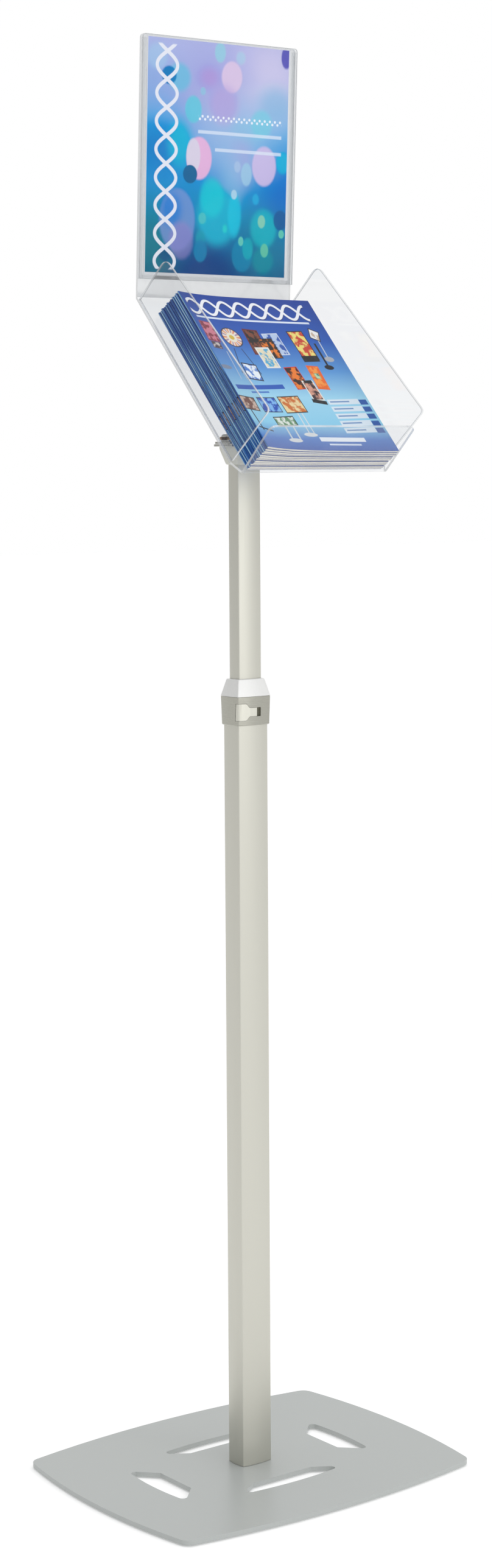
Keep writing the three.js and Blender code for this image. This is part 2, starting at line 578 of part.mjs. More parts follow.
// ---------------------------------------------------------------- tilt yoke, under the tray
const sine = Math.sin(degrees(BACK_SLOPE));
const cosine = Math.cos(degrees(BACK_SLOPE));
const hingeLocal = {
  y: -FOLD.y * cosine + (HINGE_Z - FOLD.z) * sine,
  z: FOLD.y * sine + (HINGE_Z - FOLD.z) * cosine,
};
const flangeTop = -GAP;
const flangeBottom = flangeTop - YOKE.thickness;
const flangeShape = roundedShape([
  [-YOKE.halfWidth, YOKE.low, 4],
  [YOKE.halfWidth, YOKE.low, 4],
  [YOKE.halfWidth, YOKE.high, 4],
  [-YOKE.halfWidth, YOKE.high, 4],
]);
const armShape = new THREE.Shape();
armShape.moveTo(YOKE.high - 4, flangeBottom + 0.5);
armShape.lineTo(YOKE.high - 4, flangeBottom - 5);
armShape.lineTo(hingeLocal.y + YOKE.boss, hingeLocal.z);
armShape.absarc(hingeLocal.y, hingeLocal.z, YOKE.boss, 0, -Math.PI, true);
armShape.lineTo(YOKE.low + 4, flangeBottom - 5);
armShape.lineTo(YOKE.low + 4, flangeBottom + 0.5);
armShape.closePath();
const armOuter = LUG.ear - LUG.earThickness - 0.4;
const yokeHoles = trayScrewPlaces.map(([x, y]) =>
  post(TRAY_SCREW.shank + GAP, flangeBottom - 2, 1, 16).translate(x, y, 0));
add('tilt_yoke', cut(
  join(
    prism(flangeShape, flangeBottom, flangeTop),
    prismAlongX(armShape, -armOuter, -armOuter + YOKE.thickness, 10),
    prismAlongX(armShape, armOuter - YOKE.thickness, armOuter, 10),
  ),
  rod(HINGE_BOLT.radius + GAP, -40, 40).translate(0, hingeLocal.y, hingeLocal.z),
  ...yokeHoles,
), steel, tray);

// ---------------------------------------------------------------- sign pocket and its print
const stripFloor = ACRYLIC + GAP;
const sheetFloor = stripFloor + POCKET.strip + GAP;
const pocketShape = roundedShape([
  [-HEAD_HALF_WIDTH, POCKET.bottom, 0],
  [HEAD_HALF_WIDTH, POCKET.bottom, 0],
  [HEAD_HALF_WIDTH, SIGN_HEIGHT, POCKET.corner],
  [-HEAD_HALF_WIDTH, SIGN_HEIGHT, POCKET.corner],
]);
add('pocket_front', prism(pocketShape, sheetFloor, sheetFloor + POCKET.sheet), acrylic, sign);
const stripInner = PRINT.halfWidth + 2.4;
const stripTop = SIGN_HEIGHT - POCKET.corner;
const strips = {
  left: [[-HEAD_HALF_WIDTH, POCKET.bottom], [-stripInner, stripTop]],
  right: [[stripInner, POCKET.bottom], [HEAD_HALF_WIDTH, stripTop]],
  bottom: [[-stripInner + GAP, POCKET.bottom], [stripInner - GAP, PRINT.bottom - 0.9]],
};
for (const [name, [low, high]] of Object.entries(strips)) {
  const strip = box([...low, stripFloor], [...high, stripFloor + POCKET.strip]);
  add(`pocket_strip_${name}`, strip, acrylic, sign);
}
const printFloor = stripFloor + (POCKET.strip - PRINT.thickness) / 2;
add('sign_print', box(
  [-PRINT.halfWidth, PRINT.bottom, printFloor],
  [PRINT.halfWidth, PRINT.bottom + PRINT.height, printFloor + PRINT.thickness],
), printStock, sign);

// ---------------------------------------------------------------- booklets resting on the lip
/** How far each booklet raises the stack at x: stapled spines on the left are the thick side. */
function pitchAt(x) {
  const across = (x - BOOKLET_LEFT.back) / BOOKLET.width;
  return BOOKLET.spine + (BOOKLET.foreEdge - BOOKLET.spine) * across;
}
const bookletBottom = -BACK_LENGTH + ACRYLIC + BOOKLET.standOff;
for (let index = 0; index < BOOKLET.count; index += 1) {
  const share = index / (BOOKLET.count - 1);
  const left = BOOKLET_LEFT.back + (BOOKLET_LEFT.front - BOOKLET_LEFT.back) * share;
  const right = left + BOOKLET.width;
  const under = (x) => ACRYLIC + GAP + index * pitchAt(x);
  const over = (x) => under(x) + pitchAt(x) - GAP;
  const section = new THREE.Shape([
    new THREE.Vector2(left + 0.9, under(left)),
    new THREE.Vector2(right, under(right)),
    new THREE.Vector2(right, over(right)),
    new THREE.Vector2(left + 0.9, over(left)),
    new THREE.Vector2(left, (under(left) + over(left)) / 2),
  ]);
  const number = String(index + 1).padStart(2, '0');
  add(`booklet_${number}`, prismAlongY(section, bookletBottom, bookletBottom + BOOKLET.height),
    coverStock, tray);
}

export default stand;
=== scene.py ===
# %% [markdown]
# # A sign stand, dressed round its imported frame
# The imported model already has every size, joint and hole. This notebook gives its pieces the
# finishes and the small shapes that a person sees: eased edges, clear acrylic, a printed sheet
# and a stack of stapled booklets. The first cell loads the frame.

# %% Load the frame
import json
import math

import bmesh
import bpy
from mathutils import Matrix, Vector


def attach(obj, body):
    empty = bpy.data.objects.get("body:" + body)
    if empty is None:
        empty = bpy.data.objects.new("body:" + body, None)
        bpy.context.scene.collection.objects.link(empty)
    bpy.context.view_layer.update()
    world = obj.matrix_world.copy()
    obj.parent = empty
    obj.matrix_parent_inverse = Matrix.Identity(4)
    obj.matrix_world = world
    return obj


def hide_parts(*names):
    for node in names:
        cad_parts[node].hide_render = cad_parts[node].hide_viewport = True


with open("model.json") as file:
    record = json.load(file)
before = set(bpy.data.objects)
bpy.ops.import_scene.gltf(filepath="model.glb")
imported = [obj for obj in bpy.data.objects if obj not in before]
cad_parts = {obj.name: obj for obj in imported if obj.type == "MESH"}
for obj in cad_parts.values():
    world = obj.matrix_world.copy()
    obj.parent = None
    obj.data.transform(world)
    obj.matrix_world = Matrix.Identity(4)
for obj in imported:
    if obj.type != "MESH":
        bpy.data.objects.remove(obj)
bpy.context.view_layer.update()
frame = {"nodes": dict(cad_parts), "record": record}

MM = 0.001
BODY_OF = {node: body for body, nodes in frame["record"]["behaviour"]["bodies"].items() for node in nodes}

# %% [markdown]
# ## The camera
# The stand is tall and slim, so the camera stands well back with a long lens and looks slightly
# down across the base. A long lens keeps the mast's two faces almost parallel. The camera is
# placed first, because everything that follows is judged through it.

# %% Camera
CAMERA_AT = (-2.0621, -2.7293, 1.2715)
CAMERA_TURN = math.radians(-37.072)
CAMERA_DOWN = math.radians(6.623)
CAMERA_ROLL = math.radians(-0.347)
LENS_MM = 63.906
SENSOR_MM = 36
FARTHEST_SEEN = 200


def place_camera():
    """Adds the camera with a turn about Z, a tilt down and a slight roll."""
    turn = (Matrix.Rotation(CAMERA_TURN, 3, "Z")
            @ Matrix.Rotation(math.pi / 2 - CAMERA_DOWN, 3, "X")
            @ Matrix.Rotation(CAMERA_ROLL, 3, "Z"))
    bpy.ops.object.camera_add(location=CAMERA_AT, rotation=turn.to_euler())
    camera = bpy.context.active_object
    camera.data.lens = LENS_MM
    camera.data.sensor_width = SENSOR_MM
    camera.data.clip_end = FARTHEST_SEEN
    bpy.context.scene.camera = camera


place_camera()
print("camera at", CAMERA_AT, "with a lens of", LENS_MM, "mm")

# %% [markdown]
# ## Helpers for modelling
# Operators act on whatever is selected, and loading the frame leaves all of it selected. So a
# piece is always taken in hand alone first. Faces are then picked by where they are or which
# way they face, which works the same in every run. Picking by hand couldn't be repeated.

# %% Taking pieces in hand
def take(piece):
    """Selects one object alone and makes it the active one."""
    bpy.ops.object.select_all(action="DESELECT")
    piece.select_set(True)
    bpy.context.view_layer.objects.active = piece


def pick_faces(piece, wanted):
    """In edit mode, selects just the faces for which wanted(face) is true."""
    bpy.ops.mesh.select_mode(type="FACE")
    bpy.ops.mesh.select_all(action="DESELECT")
    mesh = bmesh.from_edit_mesh(piece.data)
    for face in mesh.faces:
        face.select_set(wanted(face))
    bmesh.update_edit_mesh(piece.data)


def finish_faces(piece, *finishes):
    """Gives a piece its materials: each finish is a material and what picks its faces."""
    piece.data.materials.clear()
    take(piece)
    bpy.ops.object.mode_set(mode="EDIT")
    for slot_number, (material, wanted) in enumerate(finishes):
        piece.data.materials.append(material)
        pick_faces(piece, wanted)
        piece.active_material_index = slot_number
        bpy.ops.object.material_slot_assign()
    bpy.ops.object.mode_set(mode="OBJECT")


print("modelling helpers ready")

# %% [markdown]
# A finished piece is then tied to the frame: it rides on a body, has a material slot and stands
# for a node.


def settle(piece, material, *nodes):
    """Gives a finished piece its material, its body and the nodes it stands for."""
    if material is not None:
        piece.data.materials.clear()
        piece.data.materials.append(material)
    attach(piece, BODY_OF[nodes[0]])
    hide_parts(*nodes)


# %% [markdown]
# Machined, moulded and sawn pieces all have eased edges, and it is the thin highlight along
# them that makes a piece look solid. The frame's own meshes stay untouched: a copy is welded,
# its flat facets are merged, and a Bevel modifier rounds whatever is sharper than 30 degrees.
# The cone's ring-shaped rim is split into convex faces, or else its bore would be filled.

# %% Easing the edges of a copy
SHARP = math.radians(30)
SAME_POINT = 0.00001
SAME_PLANE = math.radians(0.3)


def welded_copy(node, convex=False):
    """A copy of a node's mesh, its loose triangles joined into whole flat (or convex) faces."""
    piece = bpy.data.objects.new(f"{node}_finished", frame["nodes"][node].data.copy())
    bpy.context.scene.collection.objects.link(piece)
    take(piece)
    bpy.ops.object.mode_set(mode="EDIT")
    bpy.ops.mesh.select_all(action="SELECT")
    bpy.ops.mesh.remove_doubles(threshold=SAME_POINT)
    bpy.ops.mesh.dissolve_limited(angle_limit=SAME_PLANE)
    if convex:
        bpy.ops.mesh.vert_connect_concave()
    bpy.ops.mesh.normals_make_consistent(inside=False)
    bpy.ops.object.mode_set(mode="OBJECT")
    return piece


def ease(piece, ease_mm, segments=2, arris_slot=-1):
    """Rounds a piece's sharp edges by ease_mm; the rounding may take a material slot of its own."""
    bevel = piece.modifiers.new("eased edges", "BEVEL")
    bevel.width = ease_mm * MM
    bevel.segments = segments
    bevel.limit_method = "ANGLE"
    bevel.angle_limit = SHARP
    bevel.material = arris_slot
    bpy.ops.object.modifier_apply(modifier=bevel.name)
    bpy.ops.object.shade_smooth_by_angle(angle=SHARP)
    flatten = piece.modifiers.new("flat faces stay flat", "WEIGHTED_NORMAL")
    flatten.weight = 100
    flatten.keep_sharp = True
    bpy.ops.object.modifier_apply(modifier=flatten.name)


def eased(node, material, ease_mm, segments=2, convex=False):
    """A welded and eased copy that stands for its node."""
    piece = welded_copy(node, convex)
    ease(piece, ease_mm, segments)
    settle(piece, material, node)


print("edges sharper than", round(math.degrees(SHARP)), "degrees are eased")

# %% [markdown]
# ## Helpers for finishes
# Every finish is a small network of shader nodes. Writing one by hand takes four lines a node,
# so these helpers add a node, set or link its inputs and return its output.

# %% Node helpers
def new_material(name):
    """A material with one Principled shader; returns the material, its node tree and the shader."""
    material = bpy.data.materials.new(name)
    material.use_nodes = True
    tree = material.node_tree
    return material, tree, tree.nodes["Principled BSDF"]


def link(tree, source, target):
    """Joins a socket, or sets a plain value, on a node's input."""
    if isinstance(source, bpy.types.NodeSocket):
        tree.links.new(source, target)
    else:
        target.default_value = source


def maths(tree, operation, *values):
    """A Math node's result."""
    node = tree.nodes.new("ShaderNodeMath")
    node.operation = operation
    for index, value in enumerate(values):
        link(tree, value, node.inputs[index])
    return node.outputs[0]


def vector_maths(tree, operation, *values):
    """A Vector Math node."""
    node = tree.nodes.new("ShaderNodeVectorMath")
    node.operation = operation
    for index, value in enumerate(values):
        link(tree, value, node.inputs[index])
    return node


def remap(tree, value, low, high, to_low=0.0, to_high=1.0):
    """A smooth Map Range from low..high to to_low..to_high."""
    node = tree.nodes.new("ShaderNodeMapRange")
    node.interpolation_type = "SMOOTHSTEP"
    link(tree, value, node.inputs["Value"])
    settings = {"From Min": low, "From Max": high, "To Min": to_low, "To Max": to_high}
    for name, setting in settings.items():
        node.inputs[name].default_value = setting
    return node.outputs[0]


print("node helpers ready")

# %% [markdown]
# A printed pattern is built up like paint: one colour first, then a mask and a new colour over
# it. The masks are a soft disc and a turned rectangle. The rectangle measures along its own two
# axes with dot products, which costs a shader far less memory than a rotation node.

# %% Masks and layers
def layer(tree, below, colour, mask):
    """Lays a colour over what is below it, as far as the mask lets it."""
    node = tree.nodes.new("ShaderNodeMix")
    node.data_type = "RGBA"
    link(tree, mask, node.inputs["Factor"])
    link(tree, below, node.inputs["A"])
    link(tree, colour, node.inputs["B"])
    return node.outputs["Result"]


def disc_mask(tree, place, centre, radii, softness):
    """1 inside an ellipse, 0 outside it, with a rim as wide as softness times the radius."""
    moved = vector_maths(tree, "SUBTRACT", place, (*centre, 0)).outputs[0]
    scaled = vector_maths(tree, "MULTIPLY", moved, (1 / radii[0], 1 / radii[1], 0)).outputs[0]
    length = vector_maths(tree, "LENGTH", scaled).outputs["Value"]
    return remap(tree, length, 1 - softness, 1 + softness / 2, 1, 0)


def card_mask(tree, place, centre, half, turn, softness=0.004):
    """1 inside a rectangle turned by so many degrees, 0 outside it."""
    moved = vector_maths(tree, "SUBTRACT", place, (*centre, 0)).outputs[0]
    cosine, sine = math.cos(math.radians(turn)), math.sin(math.radians(turn))
    beyond = []
    for axis, reach in (((cosine, sine, 0), half[0]), ((-sine, cosine, 0), half[1])):
        offset = vector_maths(tree, "DOT_PRODUCT", moved, axis).outputs["Value"]
        beyond.append(maths(tree, "SUBTRACT", maths(tree, "ABSOLUTE", offset), reach))
    return remap(tree, maths(tree, "MAXIMUM", *beyond), -softness, softness, 1, 0)


def srgb(red, green, blue):
    """A colour given as 0..255 on screen, as the linear colour that shaders use."""
    def linear(value):
        share = value / 255
        return share / 12.92 if share <= 0.04045 else ((share + 0.055) / 1.055) ** 2.4
    return (linear(red), linear(green), linear(blue), 1)


print("mid grey on screen is", round(srgb(128, 128, 128)[0], 3), "in a shader")

# %% [markdown]
# ## The room
# The room is a white studio: a pale matte floor and an even white world that wraps the satin
# metal in light. Two grey cards dim that world to the left and to the far right, which gives
# the mast's faces their different greys. They are hidden from the camera, which sees plain
# white. One soft box at the front right lifts the front face, and one overhead draws the soft
# shadow under the base.

# %% Floor, world and soft boxes
def soft_box(name, at, aim, size, watts):
    """An area light at a place, turned to face a point."""
    bpy.ops.object.light_add(type="AREA", location=at)
    lamp = bpy.context.active_object
    lamp.name = name
    lamp.rotation_euler = (Vector(aim) - Vector(at)).to_track_quat("-Z", "Y").to_euler()
    lamp.data.shape = "RECTANGLE"
    lamp.data.size, lamp.data.size_y = size
    lamp.data.energy = watts
    lamp.visible_camera = False


FLOOR_SIZE = 60
FLOOR_PAINT = 0.93
FLOOR_GLOW = 0.24
# Direction, cosine where the card starts and where it is full, and its brightness there.
GREY_CARDS = [((-0.92, 0.39, 0.0), -0.1, 0.9, 0.4), ((0.97, -0.24, 0.0), 0.7, 1.0, 0.55)]
# Name, place, aim, width and height in metres, watts.
SOFT_BOXES = [("soft_box_front", (0.8, -2.6, 1.5), (0, 0, 1.1), (1.1, 1.5), 7),
              ("soft_box_above", (-0.6, 0.5, 4.2), (0, 0, 0), (2.5, 2.5), 18)]


def lay_floor():
    """A wide matte floor with a faint glow of its own."""
    bpy.ops.mesh.primitive_plane_add(size=FLOOR_SIZE, location=(0, 0, 0))
    floor = bpy.context.active_object
    floor.name = "studio_floor"
    material, _, shader = new_material("floor paint")
    shader.inputs["Base Color"].default_value = (FLOOR_PAINT, FLOOR_PAINT, FLOOR_PAINT, 1)
    shader.inputs["Roughness"].default_value = 0.9
    shader.inputs["Specular IOR Level"].default_value = 0
    shader.inputs["Emission Color"].default_value = (1, 1, 1, 1)
    shader.inputs["Emission Strength"].default_value = FLOOR_GLOW
    floor.data.materials.append(material)


def wrap_in_white():
    """A white world, dimmed towards each grey card for everything but the camera."""
    world = bpy.data.worlds.new("white studio")
    bpy.context.scene.world = world
    world.use_nodes = True
    tree = world.node_tree
    direction = tree.nodes.new("ShaderNodeTexCoord").outputs["Generated"]
    brightness = 1.0
    for towards, widest, narrowest, dimmest in GREY_CARDS:
        facing = vector_maths(tree, "DOT_PRODUCT", direction, towards).outputs["Value"]
        card = remap(tree, facing, widest, narrowest, 1.0, dimmest)
        brightness = maths(tree, "MULTIPLY", brightness, card)
    seen_directly = tree.nodes.new("ShaderNodeLightPath").outputs["Is Camera Ray"]
    brightness = maths(tree, "MAXIMUM", brightness, seen_directly)
    link(tree, brightness, tree.nodes["Background"].inputs["Strength"])
    tree.nodes["Background"].inputs["Color"].default_value = (1, 1, 1, 1)


lay_floor()
wrap_in_white()
for soft_box_row in SOFT_BOXES:
    soft_box(*soft_box_row)
bpy.context.scene.view_settings.view_transform = "Standard"
print("room lit by a white world,", len(GREY_CARDS), "grey cards and", len(SOFT_BOXES), "soft boxes")

# %% [markdown]
# Most of the stand is metal or moulded plastic, and those finishes differ in three ways only:
# colour, how rough they are, and the grain. The grain is a noise stretched along the direction
# in which the real surface was drawn or brushed. It stirs the roughness and gives a faint bump.

# %% Metal and plastic finishes
GRAIN_HEIGHT = 0.0004


def grained(name, colour, metallic, roughness, grain, spread=0.08, depth=0.02, mottling=0.04):
    """A finish whose colour, roughness and bump follow a noise stretched by grain, in 1/metre."""
    material, tree, shader = new_material(name)
    shader.inputs["Metallic"].default_value = metallic
    place = tree.nodes.new("ShaderNodeTexCoord").outputs["Object"]
    stretched = vector_maths(tree, "MULTIPLY", place, grain).outputs[0]
    noise = tree.nodes.new("ShaderNodeTexNoise")
    noise.inputs["Scale"].default_value = 1
    noise.inputs["Detail"].default_value = 3
    link(tree, stretched, noise.inputs["Vector"])
    amount = noise.outputs["Fac"]
    darker = tuple(channel * (1 - mottling) for channel in colour[:3]) + (1,)
    link(tree, layer(tree, darker, colour, amount), shader.inputs["Base Color"])
    rough = remap(tree, amount, 0.25, 0.75, roughness - spread / 2, roughness + spread / 2)
    link(tree, rough, shader.inputs["Roughness"])
    bump = tree.nodes.new("ShaderNodeBump")
    bump.inputs["Strength"].default_value = depth
    bump.inputs["Distance"].default_value = GRAIN_HEIGHT
    link(tree, amount, bump.inputs["Height"])
    link(tree, bump.outputs[0], shader.inputs["Normal"])
    return material


# Colour, how metallic, how rough, grain along X, Y and Z, then spread, depth and mottling.
POWDER_COAT = grained("light grey powder coat", srgb(180, 184, 182), 0.0, 0.34, (900, 900, 900), 0.1, 0.12)
CHAMPAGNE = grained("champagne anodised aluminium", srgb(205, 204, 194), 0.85, 0.42, (700, 700, 9), 0.06)
LEVER_CHAMPAGNE = grained("lever in champagne", srgb(214, 213, 202), 0.8, 0.38, (60, 60, 500), 0.06)
# The band's darker silver is painted shade, and the cone's near-white silver is painted light.
BRUSHED_BAND_PAINTED_SHADE = grained("brushed collar band, painted shade", srgb(178, 177, 167), 0.95, 0.27, (14, 14, 1500), 0.12, 0.05, 0.16)
SATIN_CONE_PAINTED_LIGHT = grained("satin silver cone, painted light", srgb(238, 238, 236), 0.3, 0.4, (300, 300, 300), 0.06)
NECK_GREY = grained("grey cast neck", srgb(200, 200, 191), 0.5, 0.45, (500, 500, 500), 0.12, 0.1, 0.1)
BRIGHT_STEEL = grained("bright steel", srgb(196, 195, 188), 1.0, 0.28, (900, 90, 90), 0.12, 0.03, 0.1)
BRASS = grained("brass bolt", srgb(186, 150, 106), 1.0, 0.25, (90, 900, 900), 0.1, 0.03, 0.12)
NYLON = grained("black nylon", srgb(58, 58, 60), 0.0, 0.55, (600, 600, 600), 0.1, 0.05, 0.15)
RUBBER = grained("rubber pad", srgb(30, 30, 31), 0.0, 0.85, (800, 800, 800), 0.1, 0.2, 0.2)
print("materials so far, with the frame's own:", len(bpy.data.materials))

# %% [markdown]
# ## Base and mast
# The base is a laser-cut steel plate under a satin powder coat, which pools a little at the
# edges and rounds them. Its copy gets a 1 mm ease. The mast's two tubes are drawn aluminium
# with bowed sides, so only their corners and sawn ends need easing.

# %% Base, feet and mast
eased("base_plate", POWDER_COAT, 1.0, 3)
for corner in ("front_left", "front_right", "rear_right", "rear_left"):
    eased(f"foot_pad_{corner}", RUBBER, 0.3)
eased("mast_foot_plug", BRIGHT_STEEL, 0.4)
for number in range(1, 5):
    eased(f"base_screw_{number}", BRIGHT_STEEL, 0.25)
eased("lower_tube", CHAMPAGNE, 0.35)
eased("upper_tube", CHAMPAGNE, 0.3)
for node in ("mast_glide", "mast_bush", "clamp_shoe"):
    eased(node, NYLON, 0.2)

# %% [markdown]
# ## Collar and lock lever
# The collar is two shells: a brushed band with a proud lip, and a satin cone with a softly
# rounded rim. The cone's near-white silver is painted light, for the overhead light its upward
# taper catches, and the band's darker silver is painted shade, for the upright band that faces
# the dimmer room. The lever closes flush into its window, so the dark line round it is simply
# the real gap between two solids.

# %% Collar and lever
eased("collar_band", BRUSHED_BAND_PAINTED_SHADE, 0.25)
eased("collar_cone", SATIN_CONE_PAINTED_LIGHT, 0.45, 3, convex=True)
eased("lock_lever", LEVER_CHAMPAGNE, 0.3)
eased("lever_pin", BRIGHT_STEEL, 0.2)
for side in ("left", "right"):
    eased(f"collar_screw_{side}", BRIGHT_STEEL, 0.25)

# %% [markdown]
# ## Neck, hinge and yoke
# The neck is a small grey casting, coarser than the drawn tubes, so it gets a wider ease and a
# deeper grain. The plate, lugs and yoke over it are bent from bright steel. The bolt between
# the lugs has a brass-coloured end, which is the one warm spot on the stand.

# %% Neck, hinge and yoke
eased("neck_cap", NECK_GREY, 0.5, 3)
eased("head_plate", BRIGHT_STEEL, 0.35)
eased("hinge_bolt", BRASS, 0.25)
eased("hinge_nut", BRIGHT_STEEL, 0.25)
eased("tilt_yoke", BRIGHT_STEEL, 0.35)
for side in ("left", "right"):
    eased(f"head_screw_{side}", BRIGHT_STEEL, 0.3)
    eased(f"hinge_lug_{side}", BRIGHT_STEEL, 0.35)
    eased(f"lug_screw_{side}", BRIGHT_STEEL, 0.25)
for number in range(1, 5):
    eased(f"tray_screw_{number}", BRIGHT_STEEL, 0.2)

# %% [markdown]
# ## Clear acrylic
# The head is 3 mm clear acrylic, sawn, flame polished and bent hot. Its broad faces are nearly
# invisible, and the eye reads it by its edges: the sawn strips gather light and look pale, with
# a darker line on each side where the arris is rounded. Refracting glass would bend every line
# of the booklets behind six thin walls, so each wall is instead a pane: a share of it is a
# polished surface, more at a glancing angle, and the rest lets light straight through. A pane
# draws neither of those edge looks, so both are painted: the pale grey on the sawn strips is
# painted light, and the darker grey on the rounded arrises is painted shade.

# %% Acrylic finishes
GLANCE_POWER = 4.0
HAZE_SHARE = 0.4


def acrylic(name, tint, body, mirror, least, most):
    """A pane that lets tinted light through, and whose surface shows by least..most of it."""
    material, tree, surface = new_material(name)
    surface.inputs["Metallic"].default_value = mirror
    place = tree.nodes.new("ShaderNodeTexCoord").outputs["Object"]
    haze = tree.nodes.new("ShaderNodeTexNoise")
    haze.inputs["Scale"].default_value = 22
    haze.inputs["Detail"].default_value = 2
    link(tree, place, haze.inputs["Vector"])
    unevenness = remap(tree, haze.outputs["Fac"], 0.35, 0.65)
    dimmer = tuple(channel * 0.9 for channel in body) + (1,)
    link(tree, layer(tree, dimmer, (*body, 1), unevenness), surface.inputs["Base Color"])
    link(tree, remap(tree, haze.outputs["Fac"], 0.3, 0.7, 0.04, 0.1), surface.inputs["Roughness"])

    glance = tree.nodes.new("ShaderNodeLayerWeight")
    glance.inputs["Blend"].default_value = 0.5
    rise = maths(tree, "POWER", glance.outputs["Facing"], GLANCE_POWER)
    shown = maths(tree, "MULTIPLY_ADD", rise, 1 - least, least)
    shown = maths(tree, "MULTIPLY_ADD", unevenness, least * HAZE_SHARE, shown)
    shown = maths(tree, "MINIMUM", shown, most)

    through = tree.nodes.new("ShaderNodeBsdfTransparent")
    through.inputs["Color"].default_value = (*tint, 1)
    blend = tree.nodes.new("ShaderNodeMixShader")
    link(tree, shown, blend.inputs[0])
    link(tree, through.outputs[0], blend.inputs[1])
    link(tree, surface.outputs[0], blend.inputs[2])
    link(tree, blend.outputs[0], tree.nodes["Material Output"].inputs["Surface"])
    return material


ACRYLIC = acrylic("clear acrylic", (0.958, 0.962, 0.966), (0.92, 0.93, 0.94), 1.0, 0.008, 0.35)
# Painted light on the sawn strips and painted shade on the arrises: these greys stand for edge glow and dark
# lines.
SAWN_EDGE_PAINTED_LIGHT = acrylic("sawn acrylic edge, painted light", (0.86, 0.87, 0.88), (0.82, 0.83, 0.84), 0.3, 0.5, 0.8)
ARRIS_PAINTED_SHADE = acrylic("acrylic arris, painted shade", (0.68, 0.69, 0.70), (0.5, 0.51, 0.52), 0.0, 0.45, 0.7)
print("acrylic finishes:", ACRYLIC.name, SAWN_EDGE_PAINTED_LIGHT.name, ARRIS_PAINTED_SHADE.name)

# %% [markdown]
# The sawn strips are found by which way they face. On a wing they are whatever doesn't face
# sideways, and on the sheet they are its two sides, the sign's top and the lip's top. The
# rounding then gets the third finish, because the Bevel modifier can give its new faces a slot.

# %% Acrylic pieces
FOLD = Vector((0, 0.060, 1.4662))
TRAY_SLOPE = math.radians(46.7)
SIGN_LEAN = math.radians(2.6)
UP_SIGN = Vector((0, -math.sin(SIGN_LEAN), math.cos(SIGN_LEAN)))
OUT_OF_SIGN = Vector((0, -math.cos(SIGN_LEAN), -math.sin(SIGN_LEAN)))
OUT_OF_TRAY = Vector((0, -math.sin(TRAY_SLOPE), math.cos(TRAY_SLOPE)))
SIGN_TOP_BEYOND = 300 * MM
LIP_TOP_BEYOND = 70 * MM


def sawn_on_wing(face):
    """True for whatever doesn't face sideways."""
    return abs(face.normal.x) < 0.5


def sawn_on_sheet(face):
    """True for the sheet's sides, the sign's top and the lip's top."""
    reach = face.calc_center_median() - FOLD
    sign_top = face.normal.dot(UP_SIGN) > 0.6 and reach.dot(UP_SIGN) > SIGN_TOP_BEYOND
    lip_top = face.normal.dot(OUT_OF_TRAY) > 0.6 and reach.dot(OUT_OF_TRAY) > LIP_TOP_BEYOND
    return abs(face.normal.x) > 0.6 or sign_top or lip_top


def sawn_on_pocket(face):
    """True for the four narrow sides of the pocket's front."""
    return abs(face.normal.dot(OUT_OF_SIGN)) < 0.5


def acrylic_piece(node, is_sawn, ease_mm):
    """An eased copy whose sawn strips and arrises have finishes of their own."""
    piece = welded_copy(node)
    finish_faces(piece, (ACRYLIC, lambda face: True), (SAWN_EDGE_PAINTED_LIGHT, is_sawn),
                 (ARRIS_PAINTED_SHADE, lambda face: False))
    ease(piece, ease_mm, segments=2, arris_slot=2)
    settle(piece, None, node)


acrylic_piece("tray_sheet", sawn_on_sheet, 0.5)
acrylic_piece("tray_wing_left", sawn_on_wing, 0.5)
acrylic_piece("tray_wing_right", sawn_on_wing, 0.5)
acrylic_piece("pocket_front", sawn_on_pocket, 0.35)
for side in ("left", "right", "bottom"):
    eased(f"pocket_strip_{side}", ACRYLIC, 0.2)

# %% [markdown]
# ## The printed sheet
# The print is one letter-size sheet of paper. A curved sheet would need many cuts, but this one
# is held flat in its pocket, so a plane with a little thickness will do. It is drawn flat, gets
# a UV map while that is still easy to write down, and is then stood up in its place.

# %% Sheet and its UV map
PRINT_HALF_WIDTH = 107.95 * MM
PRINT_HEIGHT = 279.4 * MM
PRINT_BOTTOM = 29.5 * MM
PRINT_OFF_FOLD = 4.0 * MM
PAPER = 0.25 * MM
PRINT_CUTS = 7


def lay_uv(piece, low, size):
    """A UV map that reads 0..1 across X and up Y of the piece as it lies flat."""
    mesh = bmesh.new()
    mesh.from_mesh(piece.data)
    uv_map = mesh.loops.layers.uv.verify()
    for face in mesh.faces:
        for corner in face.loops:
            point = corner.vert.co
            corner[uv_map].uv = ((point.x - low[0]) / size[0], (point.y - low[1]) / size[1])
    mesh.to_mesh(piece.data)
    mesh.free()


def stand_up(piece, slope):
    """Turns a piece drawn flat about the fold line, and applies its place to its mesh."""
    take(piece)
    piece.rotation_euler = (slope, 0, 0)
    piece.location = FOLD
    bpy.ops.object.transform_apply(location=True, rotation=True, scale=True)


